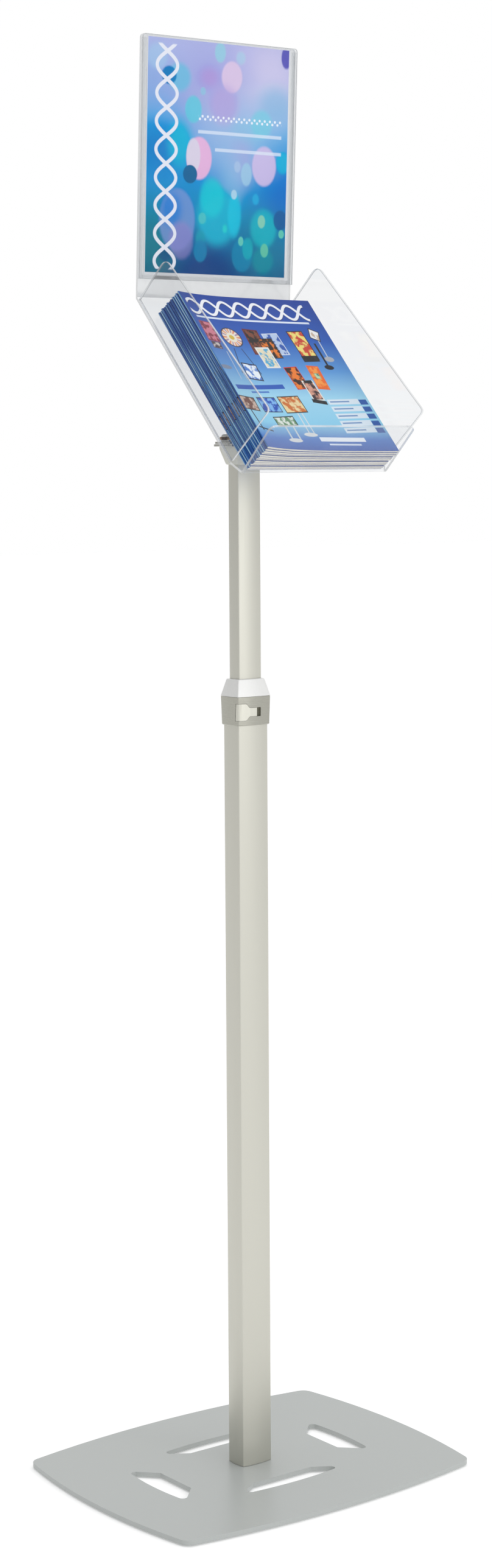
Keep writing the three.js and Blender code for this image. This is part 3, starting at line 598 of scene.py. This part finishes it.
def print_sheet():
    """The sheet, drawn flat with the fold line as the X axis and then stood up."""
    middle = PRINT_BOTTOM + PRINT_HEIGHT / 2
    bpy.ops.object.select_all(action="DESELECT")
    bpy.ops.mesh.primitive_plane_add(size=1, location=(0, middle, PRINT_OFF_FOLD))
    piece = bpy.context.active_object
    piece.name = "printed_sheet"
    piece.scale = (2 * PRINT_HALF_WIDTH, PRINT_HEIGHT, 1)
    bpy.ops.object.transform_apply(location=True, rotation=True, scale=True)
    bpy.ops.object.mode_set(mode="EDIT")
    bpy.ops.mesh.select_all(action="SELECT")
    bpy.ops.mesh.subdivide(number_cuts=PRINT_CUTS)
    bpy.ops.mesh.extrude_region_move(TRANSFORM_OT_translate={"value": (0, 0, -PAPER)})
    bpy.ops.mesh.select_all(action="SELECT")
    bpy.ops.mesh.normals_make_consistent(inside=False)
    bpy.ops.object.mode_set(mode="OBJECT")
    lay_uv(piece, (-PRINT_HALF_WIDTH, PRINT_BOTTOM), (2 * PRINT_HALF_WIDTH, PRINT_HEIGHT))
    stand_up(piece, math.pi / 2 + SIGN_LEAN)
    return piece


SIGN_SHEET = print_sheet()
print("printed sheet:", len(SIGN_SHEET.data.polygons), "faces")

# %% [markdown]
# The lights of the pattern are ellipses over a ramp that runs from periwinkle down to navy.
# Each light below is a centre, two radii, how soft its rim is, how strong it is and its colour
# in three numbers, with the sheet's width and height both counted as 1.

# %% The pattern of lights
LIGHTS = [
    (0.86, 0.88, 0.3, 0.22, 0.9, 0.9, 214, 206, 232), (0.45, 0.78, 0.3, 0.22, 0.9, 0.7, 184, 174, 222),
    (0.02, 0.8, 0.16, 0.16, 0.9, 0.5, 150, 170, 222), (0.56, 0.56, 0.26, 0.18, 0.9, 0.6, 160, 174, 224),
    (0.97, 0.36, 0.2, 0.2, 0.9, 0.9, 0, 84, 196), (0.08, 0.53, 0.2, 0.12, 0.9, 0.8, 0, 104, 196),
    (0.06, 0.12, 0.25, 0.2, 0.9, 0.8, 0, 116, 136), (0.42, 0.03, 0.24, 0.09, 0.7, 1.0, 34, 60, 134),
    (0.86, 0.12, 0.24, 0.19, 0.8, 0.7, 0, 116, 158), (0.7, 0.6, 0.42, 0.24, 0.9, 0.4, 196, 214, 236),
    (0.07, 0.92, 0.075, 0.06, 0.4, 0.6, 176, 200, 232), (0.22, 0.84, 0.085, 0.065, 0.35, 0.75, 120, 186, 222),
    (0.15, 0.845, 0.052, 0.04, 0.2, 0.95, 0, 106, 186), (0.5, 0.96, 0.04, 0.045, 0.25, 0.8, 160, 204, 224),
    (0.645, 0.945, 0.035, 0.03, 0.4, 0.6, 176, 206, 230), (0.97, 0.965, 0.038, 0.05, 0.2, 0.9, 104, 88, 176),
    (0.43, 0.85, 0.08, 0.05, 0.8, 0.6, 194, 158, 214), (0.585, 0.86, 0.075, 0.07, 0.15, 0.9, 226, 204, 228),
    (0.53, 0.74, 0.11, 0.09, 0.5, 0.7, 196, 174, 220), (0.9, 0.76, 0.14, 0.09, 0.7, 0.6, 140, 180, 222),
    (0.32, 0.71, 0.06, 0.06, 0.2, 0.85, 120, 196, 222), (0.385, 0.79, 0.02, 0.018, 0.3, 0.6, 150, 200, 224),
    (0.7, 0.63, 0.12, 0.06, 0.6, 0.5, 150, 194, 226), (0.8, 0.67, 0.08, 0.065, 0.3, 0.75, 140, 200, 226),
    (0.23, 0.56, 0.09, 0.11, 0.6, 0.7, 0, 176, 214), (0.365, 0.505, 0.09, 0.093, 0.1, 0.95, 234, 190, 218),
    (0.325, 0.515, 0.05, 0.075, 0.12, 0.9, 222, 216, 230), (0.305, 0.435, 0.05, 0.04, 0.1, 1.0, 0, 86, 150),
    (0.66, 0.5, 0.1, 0.12, 0.8, 0.7, 176, 174, 222), (0.6, 0.4, 0.09, 0.16, 0.8, 0.6, 150, 186, 226),
    (0.825, 0.49, 0.088, 0.088, 0.12, 0.9, 216, 198, 230), (0.7, 0.45, 0.04, 0.052, 0.2, 0.85, 170, 200, 228),
    (0.635, 0.48, 0.025, 0.026, 0.3, 0.7, 184, 200, 230), (0.96, 0.51, 0.05, 0.05, 0.3, 0.8, 0, 168, 218),
    (0.77, 0.345, 0.025, 0.025, 0.25, 0.8, 90, 170, 220), (0.5, 0.26, 0.15, 0.13, 0.3, 0.9, 0, 166, 208),
    (0.46, 0.34, 0.09, 0.09, 0.3, 0.85, 84, 192, 214), (0.62, 0.27, 0.05, 0.1, 0.3, 0.8, 80, 188, 222),
    (0.615, 0.36, 0.022, 0.022, 0.25, 0.85, 190, 214, 234),
    (0.22, 0.24, 0.13, 0.14, 0.15, 0.75, 140, 152, 212), (0.18, 0.28, 0.08, 0.08, 0.6, 0.6, 56, 112, 210),
    (0.25, 0.15, 0.09, 0.085, 0.3, 0.6, 154, 138, 200), (0.14, 0.09, 0.05, 0.035, 0.4, 0.8, 20, 66, 130),
    (0.395, 0.25, 0.03, 0.028, 0.25, 0.8, 110, 190, 196),
    (0.385, 0.165, 0.035, 0.035, 0.25, 0.8, 16, 146, 180), (0.385, 0.11, 0.048, 0.05, 0.2, 0.9, 0, 116, 178),
    (0.555, 0.21, 0.018, 0.02, 0.3, 0.85, 90, 200, 206), (0.68, 0.1, 0.075, 0.075, 0.15, 0.85, 0, 122, 178),
    (0.72, 0.13, 0.04, 0.05, 0.2, 0.5, 60, 186, 196), (0.83, 0.22, 0.1, 0.09, 0.3, 0.8, 56, 174, 196),
    (0.83, 0.08, 0.08, 0.06, 0.3, 0.7, 16, 140, 164), (0.95, 0.26, 0.05, 0.045, 0.15, 0.85, 36, 78, 150),
    (0.67, 0.16, 0.02, 0.022, 0.25, 0.9, 124, 206, 196), (0.815, 0.25, 0.028, 0.03, 0.2, 0.9, 150, 208, 190),
    (0.84, 0.125, 0.03, 0.032, 0.2, 0.9, 120, 200, 180), (0.96, 0.2, 0.022, 0.02, 0.25, 0.9, 120, 204, 190),
]
GROUND = [(0.0, (28, 54, 130)), (0.1, (16, 82, 154)), (0.25, (0, 124, 184)), (0.42, (0, 126, 208)),
          (0.56, (28, 136, 216)), (0.68, (108, 162, 224)), (0.8, (160, 172, 226)), (1.0, (184, 184, 228))]
print("lights in the pattern:", len(LIGHTS))

# %% [markdown]
# The sheet has no words: a plain braid, two rows of dots and two bars stand where a printer
# would put them. The braid is two sine waves, and dividing a point's height over the wave by
# the wave's steepness keeps each strand equally wide all along.

# %% Ramp, repeats and braid
def ramp(tree, value, stops):
    """A Color Ramp through (position, colour) stops."""
    node = tree.nodes.new("ShaderNodeValToRGB")
    while len(node.color_ramp.elements) < len(stops):
        node.color_ramp.elements.new(0.5)
    for element, (position, colour) in zip(node.color_ramp.elements, stops):
        element.position = position
        element.color = srgb(*colour)
    link(tree, value, node.inputs[0])
    return node.outputs[0]


def repeated(tree, value, pitch):
    """Distance from the middle of the nearest of many equal steps along a value."""
    share = maths(tree, "FRACT", maths(tree, "DIVIDE", value, pitch))
    return maths(tree, "MULTIPLY", maths(tree, "SUBTRACT", share, 0.5), pitch)


def distance(tree, across, up):
    """The length of a flat vector."""
    return maths(tree, "SQRT", maths(tree, "ADD", maths(tree, "POWER", across, 2.0),
                                     maths(tree, "POWER", up, 2.0)))


def braid_mask(tree, along, across, pitch, swing, half_stroke):
    """1 on two strands that weave round a line, all in metres."""
    angle = maths(tree, "MULTIPLY", along, 2 * math.pi / pitch)
    wave = maths(tree, "MULTIPLY", maths(tree, "SINE", angle), swing)
    steepness = maths(tree, "MULTIPLY", maths(tree, "COSINE", angle), swing * 2 * math.pi / pitch)
    slant = maths(tree, "SQRT", maths(tree, "MULTIPLY_ADD", steepness, steepness, 1.0))
    masks = []
    for strand in (maths(tree, "SUBTRACT", across, wave), maths(tree, "ADD", across, wave)):
        away = maths(tree, "DIVIDE", maths(tree, "ABSOLUTE", strand), slant)
        masks.append(remap(tree, away, 0.85 * half_stroke, 1.15 * half_stroke, 1, 0))
    return maths(tree, "MAXIMUM", *masks)


print("pattern helpers ready")

# %% [markdown]
# The layers go on in the order in which ink would: ramp, lights, braid, dots, bars. A Hue and
# Saturation node then makes up for what the acrylic in front takes away, and the white margin
# goes over everything.

# %% The printed finish
BRAID_CENTRE = 0.137
BRAID_PITCH = 66 * MM
BRAID_SWING = 15 * MM
BRAID_HALF_STROKE = 2.3 * MM
DOT_PITCH = 0.0366
DOT_ROWS = [(0.684, 0.0), (0.672, 0.5)]
DOT_CORE = 1.3 * MM
DOT_RIM = 1.9 * MM
BARS = [(0.618, 0.65, 0.295), (0.546, 0.71, 0.235)]
MARGIN_CENTRE = (0.497, 0.504)
MARGIN_HALF = (0.492, 0.494)


def print_material():
    """The pattern of lights with its braid, dots, bars and white margin."""
    material, tree, shader = new_material("printed lights")
    place = tree.nodes.new("ShaderNodeTexCoord").outputs["UV"]
    parts = tree.nodes.new("ShaderNodeSeparateXYZ")
    link(tree, place, parts.inputs[0])
    across, up = parts.outputs[0], parts.outputs[1]
    colour = ramp(tree, up, GROUND)
    for x, y, radius_x, radius_y, softness, strength, *tint in LIGHTS:
        mask = disc_mask(tree, place, (x, y), (radius_x, radius_y), softness)
        colour = layer(tree, colour, srgb(*tint), maths(tree, "MULTIPLY", mask, strength))

    wide = maths(tree, "MULTIPLY", maths(tree, "SUBTRACT", across, BRAID_CENTRE), 2 * PRINT_HALF_WIDTH)
    high = maths(tree, "MULTIPLY", up, PRINT_HEIGHT)
    strands = braid_mask(tree, high, wide, BRAID_PITCH, BRAID_SWING, BRAID_HALF_STROKE)
    inside = card_mask(tree, place, (BRAID_CENTRE, 0.5), (0.1, 0.475), 0)
    colour = layer(tree, colour, srgb(234, 234, 242), maths(tree, "MULTIPLY", strands, inside))

    for row, offset in DOT_ROWS:
        shifted = maths(tree, "ADD", across, offset * DOT_PITCH)
        step = maths(tree, "MULTIPLY", repeated(tree, shifted, DOT_PITCH), 2 * PRINT_HALF_WIDTH)
        rise = maths(tree, "MULTIPLY", maths(tree, "SUBTRACT", up, row), PRINT_HEIGHT)
        dots = remap(tree, distance(tree, step, rise), DOT_CORE, DOT_RIM, 1, 0)
        band = card_mask(tree, place, (0.65, row), (0.295, 0.008), 0)
        colour = layer(tree, colour, srgb(240, 242, 250), maths(tree, "MULTIPLY", dots, band))
    for row, centre, half in BARS:
        bar = card_mask(tree, place, (centre, row), (half, 0.007), 0, 0.002)
        colour = layer(tree, colour, srgb(226, 232, 246), maths(tree, "MULTIPLY", bar, 0.75))

    vivid = tree.nodes.new("ShaderNodeHueSaturation")
    vivid.inputs["Hue"].default_value = 0.482
    vivid.inputs["Saturation"].default_value = 1.14
    vivid.inputs["Value"].default_value = 1.15
    link(tree, colour, vivid.inputs["Color"])
    colour = vivid.outputs[0]
    margin = card_mask(tree, place, MARGIN_CENTRE, MARGIN_HALF, 0, 0.001)
    colour = layer(tree, srgb(238, 239, 242), colour, margin)
    link(tree, colour, shader.inputs["Base Color"])
    speck = tree.nodes.new("ShaderNodeTexNoise")
    speck.inputs["Scale"].default_value = 240
    link(tree, remap(tree, speck.outputs["Fac"], 0.3, 0.7, 0.5, 0.6), shader.inputs["Roughness"])
    shader.inputs["Specular IOR Level"].default_value = 0.1
    return material


PRINTED = print_material()
print("printed finish:", len(PRINTED.node_tree.nodes), "nodes")

# %% [markdown]
# Only one side of the sheet is printed. The back and the cut edges are plain paper, and the
# printed side is found by which way it faces.

# %% Paper, and the finished sheet
def paper_material():
    """Plain white paper with a faint grain of fibres."""
    material, tree, shader = new_material("white paper")
    fibres = tree.nodes.new("ShaderNodeTexNoise")
    fibres.inputs["Scale"].default_value = 700
    fibres.inputs["Detail"].default_value = 4
    link(tree, tree.nodes.new("ShaderNodeTexCoord").outputs["Object"], fibres.inputs["Vector"])
    shade = remap(tree, fibres.outputs["Fac"], 0.35, 0.65)
    link(tree, layer(tree, srgb(238, 239, 241), srgb(248, 248, 249), shade), shader.inputs["Base Color"])
    link(tree, remap(tree, fibres.outputs["Fac"], 0.3, 0.7, 0.7, 0.8), shader.inputs["Roughness"])
    return material


finish_faces(SIGN_SHEET, (paper_material(), lambda face: True),
             (PRINTED, lambda face: face.normal.dot(OUT_OF_SIGN) > 0.5))
settle(SIGN_SHEET, None, "sign_print")

# %% [markdown]
# ## The booklets
# A stapled booklet is thickest at its folded spine, and its pages curve down from there towards
# the open side. Twelve of them in a stack add that curve up, so each one bends a little more
# than the one under it. Each is extruded from its spine to its open side in short steps, then
# the paper on its three cut sides is set back by an inset, which leaves the cover proud. The
# first cell works out how high and how thick a booklet is at each of those steps.

# %% Booklet section
BOOKLETS = 12
WIDTH = 203 * MM
HEIGHT = 256 * MM
STACK_FLOOR = 3.3 * MM
STACK_FOOT = -285.6 * MM
SPINE_LOWEST = -100 * MM
SPINE_HIGHEST = -90.5 * MM
SPINE_STRAY = 0.5 * MM
FOOT_STRAY = 0.6 * MM
PITCH_OPEN = 2.5 * MM
PITCH_EXTRA = 0.7 * MM
PITCH_FADE = 45 * MM
BREATH = 0.12 * MM
STEPS = [0, 0.35, 0.9, 1.8, 3.5, 8, 16, 28, 44, 66, 95, 130, 167, 203]
ROUNDING = [0.22, 0.7, 0.92, 1]
COVER_THICKNESS = 0.06 * MM
PAGES_SET_BACK = 0.3 * MM
FLAT_ENOUGH = 0.95


def pitch_at(run):
    """How far one booklet raises the stack at a distance from its spine."""
    return PITCH_OPEN + PITCH_EXTRA * math.exp(-run / PITCH_FADE)


def section_at(index, step):
    """(middle height, thickness) of one booklet's section at one of its steps."""
    pitch = pitch_at(STEPS[step] * MM)
    full = pitch - BREATH
    rounding = ROUNDING[step] if step < len(ROUNDING) else 1
    return STACK_FLOOR + index * pitch + full / 2, full * rounding


def corner_of(index):
    """Where a booklet's spine and foot are; no two booklets lie quite alike."""
    share = index / (BOOKLETS - 1)
    left = SPINE_LOWEST + (SPINE_HIGHEST - SPINE_LOWEST) * share + SPINE_STRAY * math.sin(index * 2.4)
    foot = STACK_FOOT + FOOT_STRAY * (1 + math.sin(index * 4.1))
    return left, foot


TOP_SECTION = section_at(BOOKLETS - 1, 0)
print("stack is", round((TOP_SECTION[0] + TOP_SECTION[1] / 2) / MM, 1), "mm high at the spine")

# %% [markdown]
# The cover is glossy coated paper: deep blue at its head, pale cyan two thirds of the way down
# and blue again at its foot, with small tilted pictures and five pale labels. The pictures are
# blocks of noise in plain colours with dark or white frames, so they show nothing in particular.
# All places are shares of the cover's width and height.

# %% What is on the cover
COVER_GROUND = [(0.0, (44, 88, 172)), (0.07, (66, 118, 194)), (0.17, (136, 200, 230)),
                (0.34, (152, 206, 232)), (0.52, (84, 146, 210)), (0.72, (28, 86, 178)),
                (1.0, (14, 58, 150))]
# Centre, half size, turn in degrees, frame width, frame colour and two colours of the picture.
PICTURES = [
    ((0.075, 0.745), (0.046, 0.066), -3, 0.004, (150, 50, 80), (132, 30, 56), (208, 120, 140)),
    ((0.07, 0.655), (0.034, 0.022), -3, 0.004, (90, 40, 50), (70, 50, 60), (200, 190, 190)),
    ((0.23, 0.495), (0.056, 0.054), -5, 0.007, (26, 30, 52), (70, 120, 200), (226, 234, 242)),
    ((0.54, 0.69), (0.062, 0.072), 4, 0.006, (206, 216, 232), (40, 84, 170), (176, 196, 226)),
    ((0.395, 0.697), (0.056, 0.086), -3, 0.008, (100, 22, 28), (24, 16, 18), (120, 64, 44)),
    ((0.478, 0.66), (0.058, 0.066), 3, 0.006, (18, 16, 18), (36, 22, 16), (222, 118, 30)),
    ((0.417, 0.597), (0.054, 0.068), 3, 0.010, (226, 224, 220), (82, 166, 206), (226, 216, 186)),
    ((0.745, 0.687), (0.062, 0.098), 3, 0.006, (16, 16, 18), (196, 60, 44), (232, 214, 120)),
    ((0.745, 0.60), (0.062, 0.02), 3, 0.004, (14, 14, 16), (22, 22, 24), (34, 34, 38)),
    ((0.885, 0.763), (0.036, 0.036), -22, 0.006, (34, 34, 40), (196, 176, 156), (236, 236, 236)),
    ((0.55, 0.468), (0.052, 0.073), 5, 0.005, (196, 34, 28), (44, 18, 14), (230, 120, 36)),
    ((0.715, 0.475), (0.045, 0.078), -3, 0.005, (222, 92, 34), (226, 100, 30), (238, 150, 66)),
    ((0.718, 0.485), (0.018, 0.018), 0, 0.002, (60, 140, 110), (30, 96, 84), (180, 210, 170)),
    ((0.617, 0.388), (0.044, 0.066), 4, 0.008, (224, 222, 216), (60, 40, 44), (206, 150, 130)),
    ((0.617, 0.446), (0.032, 0.009), 4, 0.002, (14, 14, 16), (20, 20, 22), (34, 34, 38)),
    ((0.617, 0.315), (0.052, 0.012), -8, 0.002, (20, 20, 24), (24, 24, 28), (40, 40, 44)),
    ((0.055, 0.28), (0.06, 0.044), -3, 0.006, (40, 34, 34), (110, 64, 52), (202, 176, 160)),
    ((0.213, 0.282), (0.072, 0.048), 3, 0.005, (30, 38, 60), (20, 74, 176), (120, 176, 232)),
    ((0.393, 0.292), (0.084, 0.054), 4, 0.006, (30, 26, 24), (226, 206, 156), (198, 108, 46)),
    ((0.265, 0.18), (0.08, 0.031), 5, 0.006, (26, 30, 30), (96, 140, 104), (214, 222, 216)),
]
# Centre, half size, turn and colour of each thin leg, post and bar.
STROKES = [
    ((0.172, 0.565), (0.003, 0.085), -16, (30, 52, 96)), ((0.272, 0.565), (0.003, 0.085), 14, (30, 52, 96)),
    ((0.888, 0.66), (0.004, 0.066), -2, (190, 200, 214)), ((0.847, 0.625), (0.0075, 0.08), 0, (22, 26, 36)),
    ((0.115, 0.53), (0.003, 0.09), -3, (176, 190, 212)), ((0.152, 0.53), (0.003, 0.09), 3, (176, 190, 212)),
    ((0.045, 0.18), (0.004, 0.07), 6, (28, 32, 46)), ((0.075, 0.12), (0.05, 0.004), -12, (28, 32, 46)),
    ((0.395, 0.17), (0.004, 0.07), 0, (206, 216, 222)), ((0.43, 0.17), (0.004, 0.07), 2, (206, 216, 222)),
    ((0.24, 0.10), (0.006, 0.05), 0, (196, 208, 216)), ((0.30, 0.11), (0.006, 0.05), 0, (196, 208, 216)),
    ((0.47, 0.842), (0.43, 0.006), 0, (214, 224, 240)), ((0.22, 0.395), (0.19, 0.014), 4, (30, 84, 178)),
    ((0.20, 0.362), (0.07, 0.005), 4, (60, 108, 190)), ((0.62, 0.072), (0.17, 0.013), 0, (232, 238, 246)),
    ((0.62, 0.04), (0.12, 0.005), 0, (214, 224, 240)),
]
FEET = [((0.889, 0.60), (0.036, 0.018), (168, 172, 180)), ((0.85, 0.545), (0.036, 0.016), (20, 22, 30)),
        ((0.04, 0.51), (0.045, 0.014), (120, 134, 160)), ((0.40, 0.10), (0.052, 0.013), (214, 218, 220)),
        ((0.26, 0.06), (0.052, 0.013), (214, 218, 220))]
DISC = (0.228, 0.72)
LABELS_UP = [0.318, 0.272, 0.226, 0.18, 0.134]
print("on the cover:", len(PICTURES), "pictures,", len(STROKES), "strokes,", len(LABELS_UP), "labels")

# %% [markdown]
# Two things on the cover are more than rectangles: a disc of coloured wedges, made with a radial
# gradient that is cut into eight, and a braid with a shadow in place of a title.

# %% Disc and header
HEADER_UP = 0.912
HEADER_PITCH = 50 * MM
HEADER_SWING = 12 * MM
HEADER_HALF_STROKE = 2.0 * MM
SHADOW_DROP = -1.2 * MM
DISC_WEDGES = 8.0


def spun_disc(tree, place, colour):
    """The many-coloured disc: wedges round a pale hub inside a dark rim."""
    moved = vector_maths(tree, "SUBTRACT", place, (*DISC, 0)).outputs[0]
    spokes = tree.nodes.new("ShaderNodeTexGradient")
    spokes.gradient_type = "RADIAL"
    link(tree, moved, spokes.inputs[0])
    wedge = maths(tree, "FRACT", maths(tree, "MULTIPLY", spokes.outputs["Fac"], DISC_WEDGES))
    wedges = ramp(tree, wedge, [(0.0, (214, 90, 70)), (0.25, (238, 226, 190)), (0.5, (150, 110, 160)),
                                (0.75, (236, 232, 220)), (1.0, (206, 120, 60))])
    rings = [(0.074, srgb(28, 34, 56)), (0.067, wedges), (0.036, srgb(226, 222, 206)),
             (0.018, srgb(204, 176, 60))]
    for radius, tint in rings:
        mask = disc_mask(tree, place, DISC, (radius, radius * WIDTH / HEIGHT * 1.1), 0.06)
        colour = layer(tree, colour, tint, mask)
    return colour


def header(tree, place, across, up, colour):
    """A plain white braid with a dark shadow where a title would be."""
    wide = maths(tree, "MULTIPLY", across, WIDTH)
    inside = card_mask(tree, place, (0.475, HEADER_UP), (0.45, 0.07), 0)
    for drop, tint in ((SHADOW_DROP, srgb(10, 36, 104)), (0.0, srgb(236, 238, 244))):
        high = maths(tree, "MULTIPLY_ADD", up, HEIGHT, -HEADER_UP * HEIGHT - drop)
        strands = braid_mask(tree, wide, high, HEADER_PITCH, HEADER_SWING, HEADER_HALF_STROKE)
        colour = layer(tree, colour, tint, maths(tree, "MULTIPLY", strands, inside))
    return colour


print("disc in", round(DISC_WEDGES), "wedges; header every", round(HEADER_PITCH / MM), "mm")

# %% [markdown]
# The cover finish stacks all of that up. Pictures come after the strokes and feet, so that each
# picture hides the top of its stand.

# %% Cover finish
def cover_material():
    """Coated cover paper with its header, ramp, pictures, disc and labels."""
    material, tree, shader = new_material("coated cover")
    place = tree.nodes.new("ShaderNodeTexCoord").outputs["UV"]
    parts = tree.nodes.new("ShaderNodeSeparateXYZ")
    link(tree, place, parts.inputs[0])
    across, up = parts.outputs[0], parts.outputs[1]
    colour = header(tree, place, across, up, ramp(tree, up, COVER_GROUND))
    for centre, half, turn, tint in STROKES:
        colour = layer(tree, colour, srgb(*tint), card_mask(tree, place, centre, half, turn, 0.001))
    for centre, radii, tint in FEET:
        colour = layer(tree, colour, srgb(*tint), disc_mask(tree, place, centre, radii, 0.1))
    blotch = tree.nodes.new("ShaderNodeTexNoise")
    blotch.inputs["Scale"].default_value = 26
    blotch.inputs["Detail"].default_value = 2
    link(tree, place, blotch.inputs["Vector"])
    blotches = remap(tree, blotch.outputs["Fac"], 0.44, 0.56)
    for centre, half, turn, rim, frame_tint, dark, light in PICTURES:
        outer = card_mask(tree, place, centre, half, turn, 0.002)
        colour = layer(tree, colour, srgb(*frame_tint), outer)
        inner_half = (half[0] - rim, half[1] - rim)
        inner = card_mask(tree, place, centre, inner_half, turn, 0.0015)
        colour = layer(tree, colour, layer(tree, srgb(*dark), srgb(*light), blotches), inner)
    colour = spun_disc(tree, place, colour)
    for label_up in LABELS_UP:
        label = card_mask(tree, place, (0.80, label_up), (0.12, 0.0165), 2, 0.002)
        colour = layer(tree, colour, srgb(210, 224, 236), label)
        line = card_mask(tree, place, (0.77, label_up), (0.075, 0.004), 2, 0.002)
        colour = layer(tree, colour, srgb(96, 136, 186), line)
        tab = card_mask(tree, place, (0.952, label_up), (0.03, 0.0165), 2, 0.002)
        colour = layer(tree, colour, srgb(32, 84, 162), tab)

    link(tree, colour, shader.inputs["Base Color"])
    link(tree, remap(tree, blotch.outputs["Fac"], 0.3, 0.7, 0.28, 0.32), shader.inputs["Roughness"])
    shader.inputs["Specular IOR Level"].default_value = 0.3
    return material


COVER = cover_material()
print("cover finish:", len(COVER.node_tree.nodes), "nodes")

# %% [markdown]
# The back of the cover and its folded spine are plain deep blue. Pale streaks along the crest
# are partly rubbed wear and partly a painted highlight, where the rounded fold catches light.
# The pages' cut edges are fine cream lines. Both noises are stretched along the tray.

# %% Spine and page finishes
CREST = (0.05 * MM, 0.35 * MM)


def along_tray(tree, scale):
    """Object coordinates turned to lie along the tray and stretched, each axis in 1/metre."""
    turn = tree.nodes.new("ShaderNodeMapping")
    turn.inputs["Rotation"].default_value = (-TRAY_SLOPE, 0, 0)
    link(tree, tree.nodes.new("ShaderNodeTexCoord").outputs["Object"], turn.inputs["Vector"])
    return vector_maths(tree, "MULTIPLY", turn.outputs[0], scale).outputs[0]


def spine_material():
    """The cover's back and folded spine: deep blue, its crest streaked pale by wear and painted highlight."""
    material, tree, shader = new_material("cover back and spine")
    parts = tree.nodes.new("ShaderNodeSeparateXYZ")
    link(tree, tree.nodes.new("ShaderNodeTexCoord").outputs["UV"], parts.inputs[0])
    rub_and_highlight_noise = tree.nodes.new("ShaderNodeTexNoise")
    rub_and_highlight_noise.inputs["Scale"].default_value = 1
    rub_and_highlight_noise.inputs["Detail"].default_value = 3
    link(tree, along_tray(tree, (60, 7, 260)), rub_and_highlight_noise.inputs["Vector"])
    colour = layer(tree, srgb(22, 66, 140), srgb(40, 112, 178), remap(tree, rub_and_highlight_noise.outputs["Fac"], 0.35, 0.65))
    crest = remap(tree, parts.outputs[0], CREST[0] / WIDTH, CREST[1] / WIDTH, 1, 0)
    # Painted highlight: the pale crest streaks stand for light on the rounded fold as well as for wear.
    wear_and_painted_highlight = maths(tree, "MULTIPLY", crest, remap(tree, rub_and_highlight_noise.outputs["Fac"], 0.45, 0.6, 0.0, 0.85))
    link(tree, layer(tree, colour, srgb(176, 212, 232), wear_and_painted_highlight), shader.inputs["Base Color"])
    link(tree, remap(tree, rub_and_highlight_noise.outputs["Fac"], 0.3, 0.7, 0.26, 0.36), shader.inputs["Roughness"])
    shader.inputs["Specular IOR Level"].default_value = 0.3
    return material


def page_material():
    """Cut page edges: fine lines that run along the stack, cream with faint shadows."""
    material, tree, shader = new_material("cut page edges")
    lines = tree.nodes.new("ShaderNodeTexNoise")
    lines.inputs["Scale"].default_value = 1
    lines.inputs["Detail"].default_value = 2
    link(tree, along_tray(tree, (12, 12, 4200)), lines.inputs["Vector"])
    shade = remap(tree, lines.outputs["Fac"], 0.35, 0.65)
    link(tree, layer(tree, srgb(206, 201, 188), srgb(244, 240, 228), shade), shader.inputs["Base Color"])
    shader.inputs["Roughness"].default_value = 0.85
    return material


SPINE = spine_material()
PAGES = page_material()
print("spine and page finishes:", SPINE.name, "and", PAGES.name)

# %% [markdown]
# A booklet starts as a narrow plane that stands at the spine. Extruding it again and again
# towards the open side, and resizing it about its own middle each time, follows the curve.

# %% Booklets
def extruded_section(index, left, foot):
    """The booklet's body, drawn flat with the fold line as the X axis, left in edit mode."""
    height, thickness = section_at(index, 0)
    bpy.ops.object.select_all(action="DESELECT")
    bpy.ops.mesh.primitive_plane_add(size=1, location=(left, foot + HEIGHT / 2, height),
                                     rotation=(0, math.pi / 2, 0))
    piece = bpy.context.active_object
    piece.name = f"stapled_booklet_{index + 1:02d}"
    piece.scale = (thickness, HEIGHT, 1)
    bpy.ops.object.transform_apply(location=True, rotation=True, scale=True)
    bpy.ops.object.mode_set(mode="EDIT")
    bpy.ops.mesh.select_all(action="SELECT")
    for step in range(1, len(STEPS)):
        next_height, next_thickness = section_at(index, step)
        run = (STEPS[step] - STEPS[step - 1]) * MM
        bpy.ops.mesh.extrude_region_move(
            TRANSFORM_OT_translate={"value": (run, 0, next_height - height)})
        centre = (left + STEPS[step] * MM, foot + HEIGHT / 2, next_height)
        bpy.ops.transform.resize(value=(1, 1, next_thickness / thickness), center_override=centre)
        height, thickness = next_height, next_thickness
    bpy.ops.mesh.select_all(action="SELECT")
    bpy.ops.mesh.normals_make_consistent(inside=False)
    return piece


def booklet(index):
    """One booklet with its cover, spine and set-back pages, laid on the tray."""
    left, foot = corner_of(index)
    piece = extruded_section(index, left, foot)
    open_side = left + WIDTH - 0.1 * MM
    pick_faces(piece, lambda face: abs(face.normal.y) > 0.9 or face.calc_center_median().x > open_side)
    for finish in (COVER, SPINE, PAGES):
        piece.data.materials.append(finish)
    bpy.ops.mesh.inset(thickness=COVER_THICKNESS, depth=-PAGES_SET_BACK)
    piece.active_material_index = 2
    bpy.ops.object.material_slot_assign()
    pick_faces(piece, lambda face: face.material_index == 0 and face.normal.z < FLAT_ENOUGH)
    piece.active_material_index = 1
    bpy.ops.object.material_slot_assign()
    bpy.ops.object.mode_set(mode="OBJECT")
    lay_uv(piece, (left, foot), (WIDTH, HEIGHT))
    stand_up(piece, TRAY_SLOPE)
    bpy.ops.object.shade_smooth_by_angle(angle=SHARP)
    settle(piece, None, f"booklet_{index + 1:02d}")


for index in range(BOOKLETS):
    booklet(index)
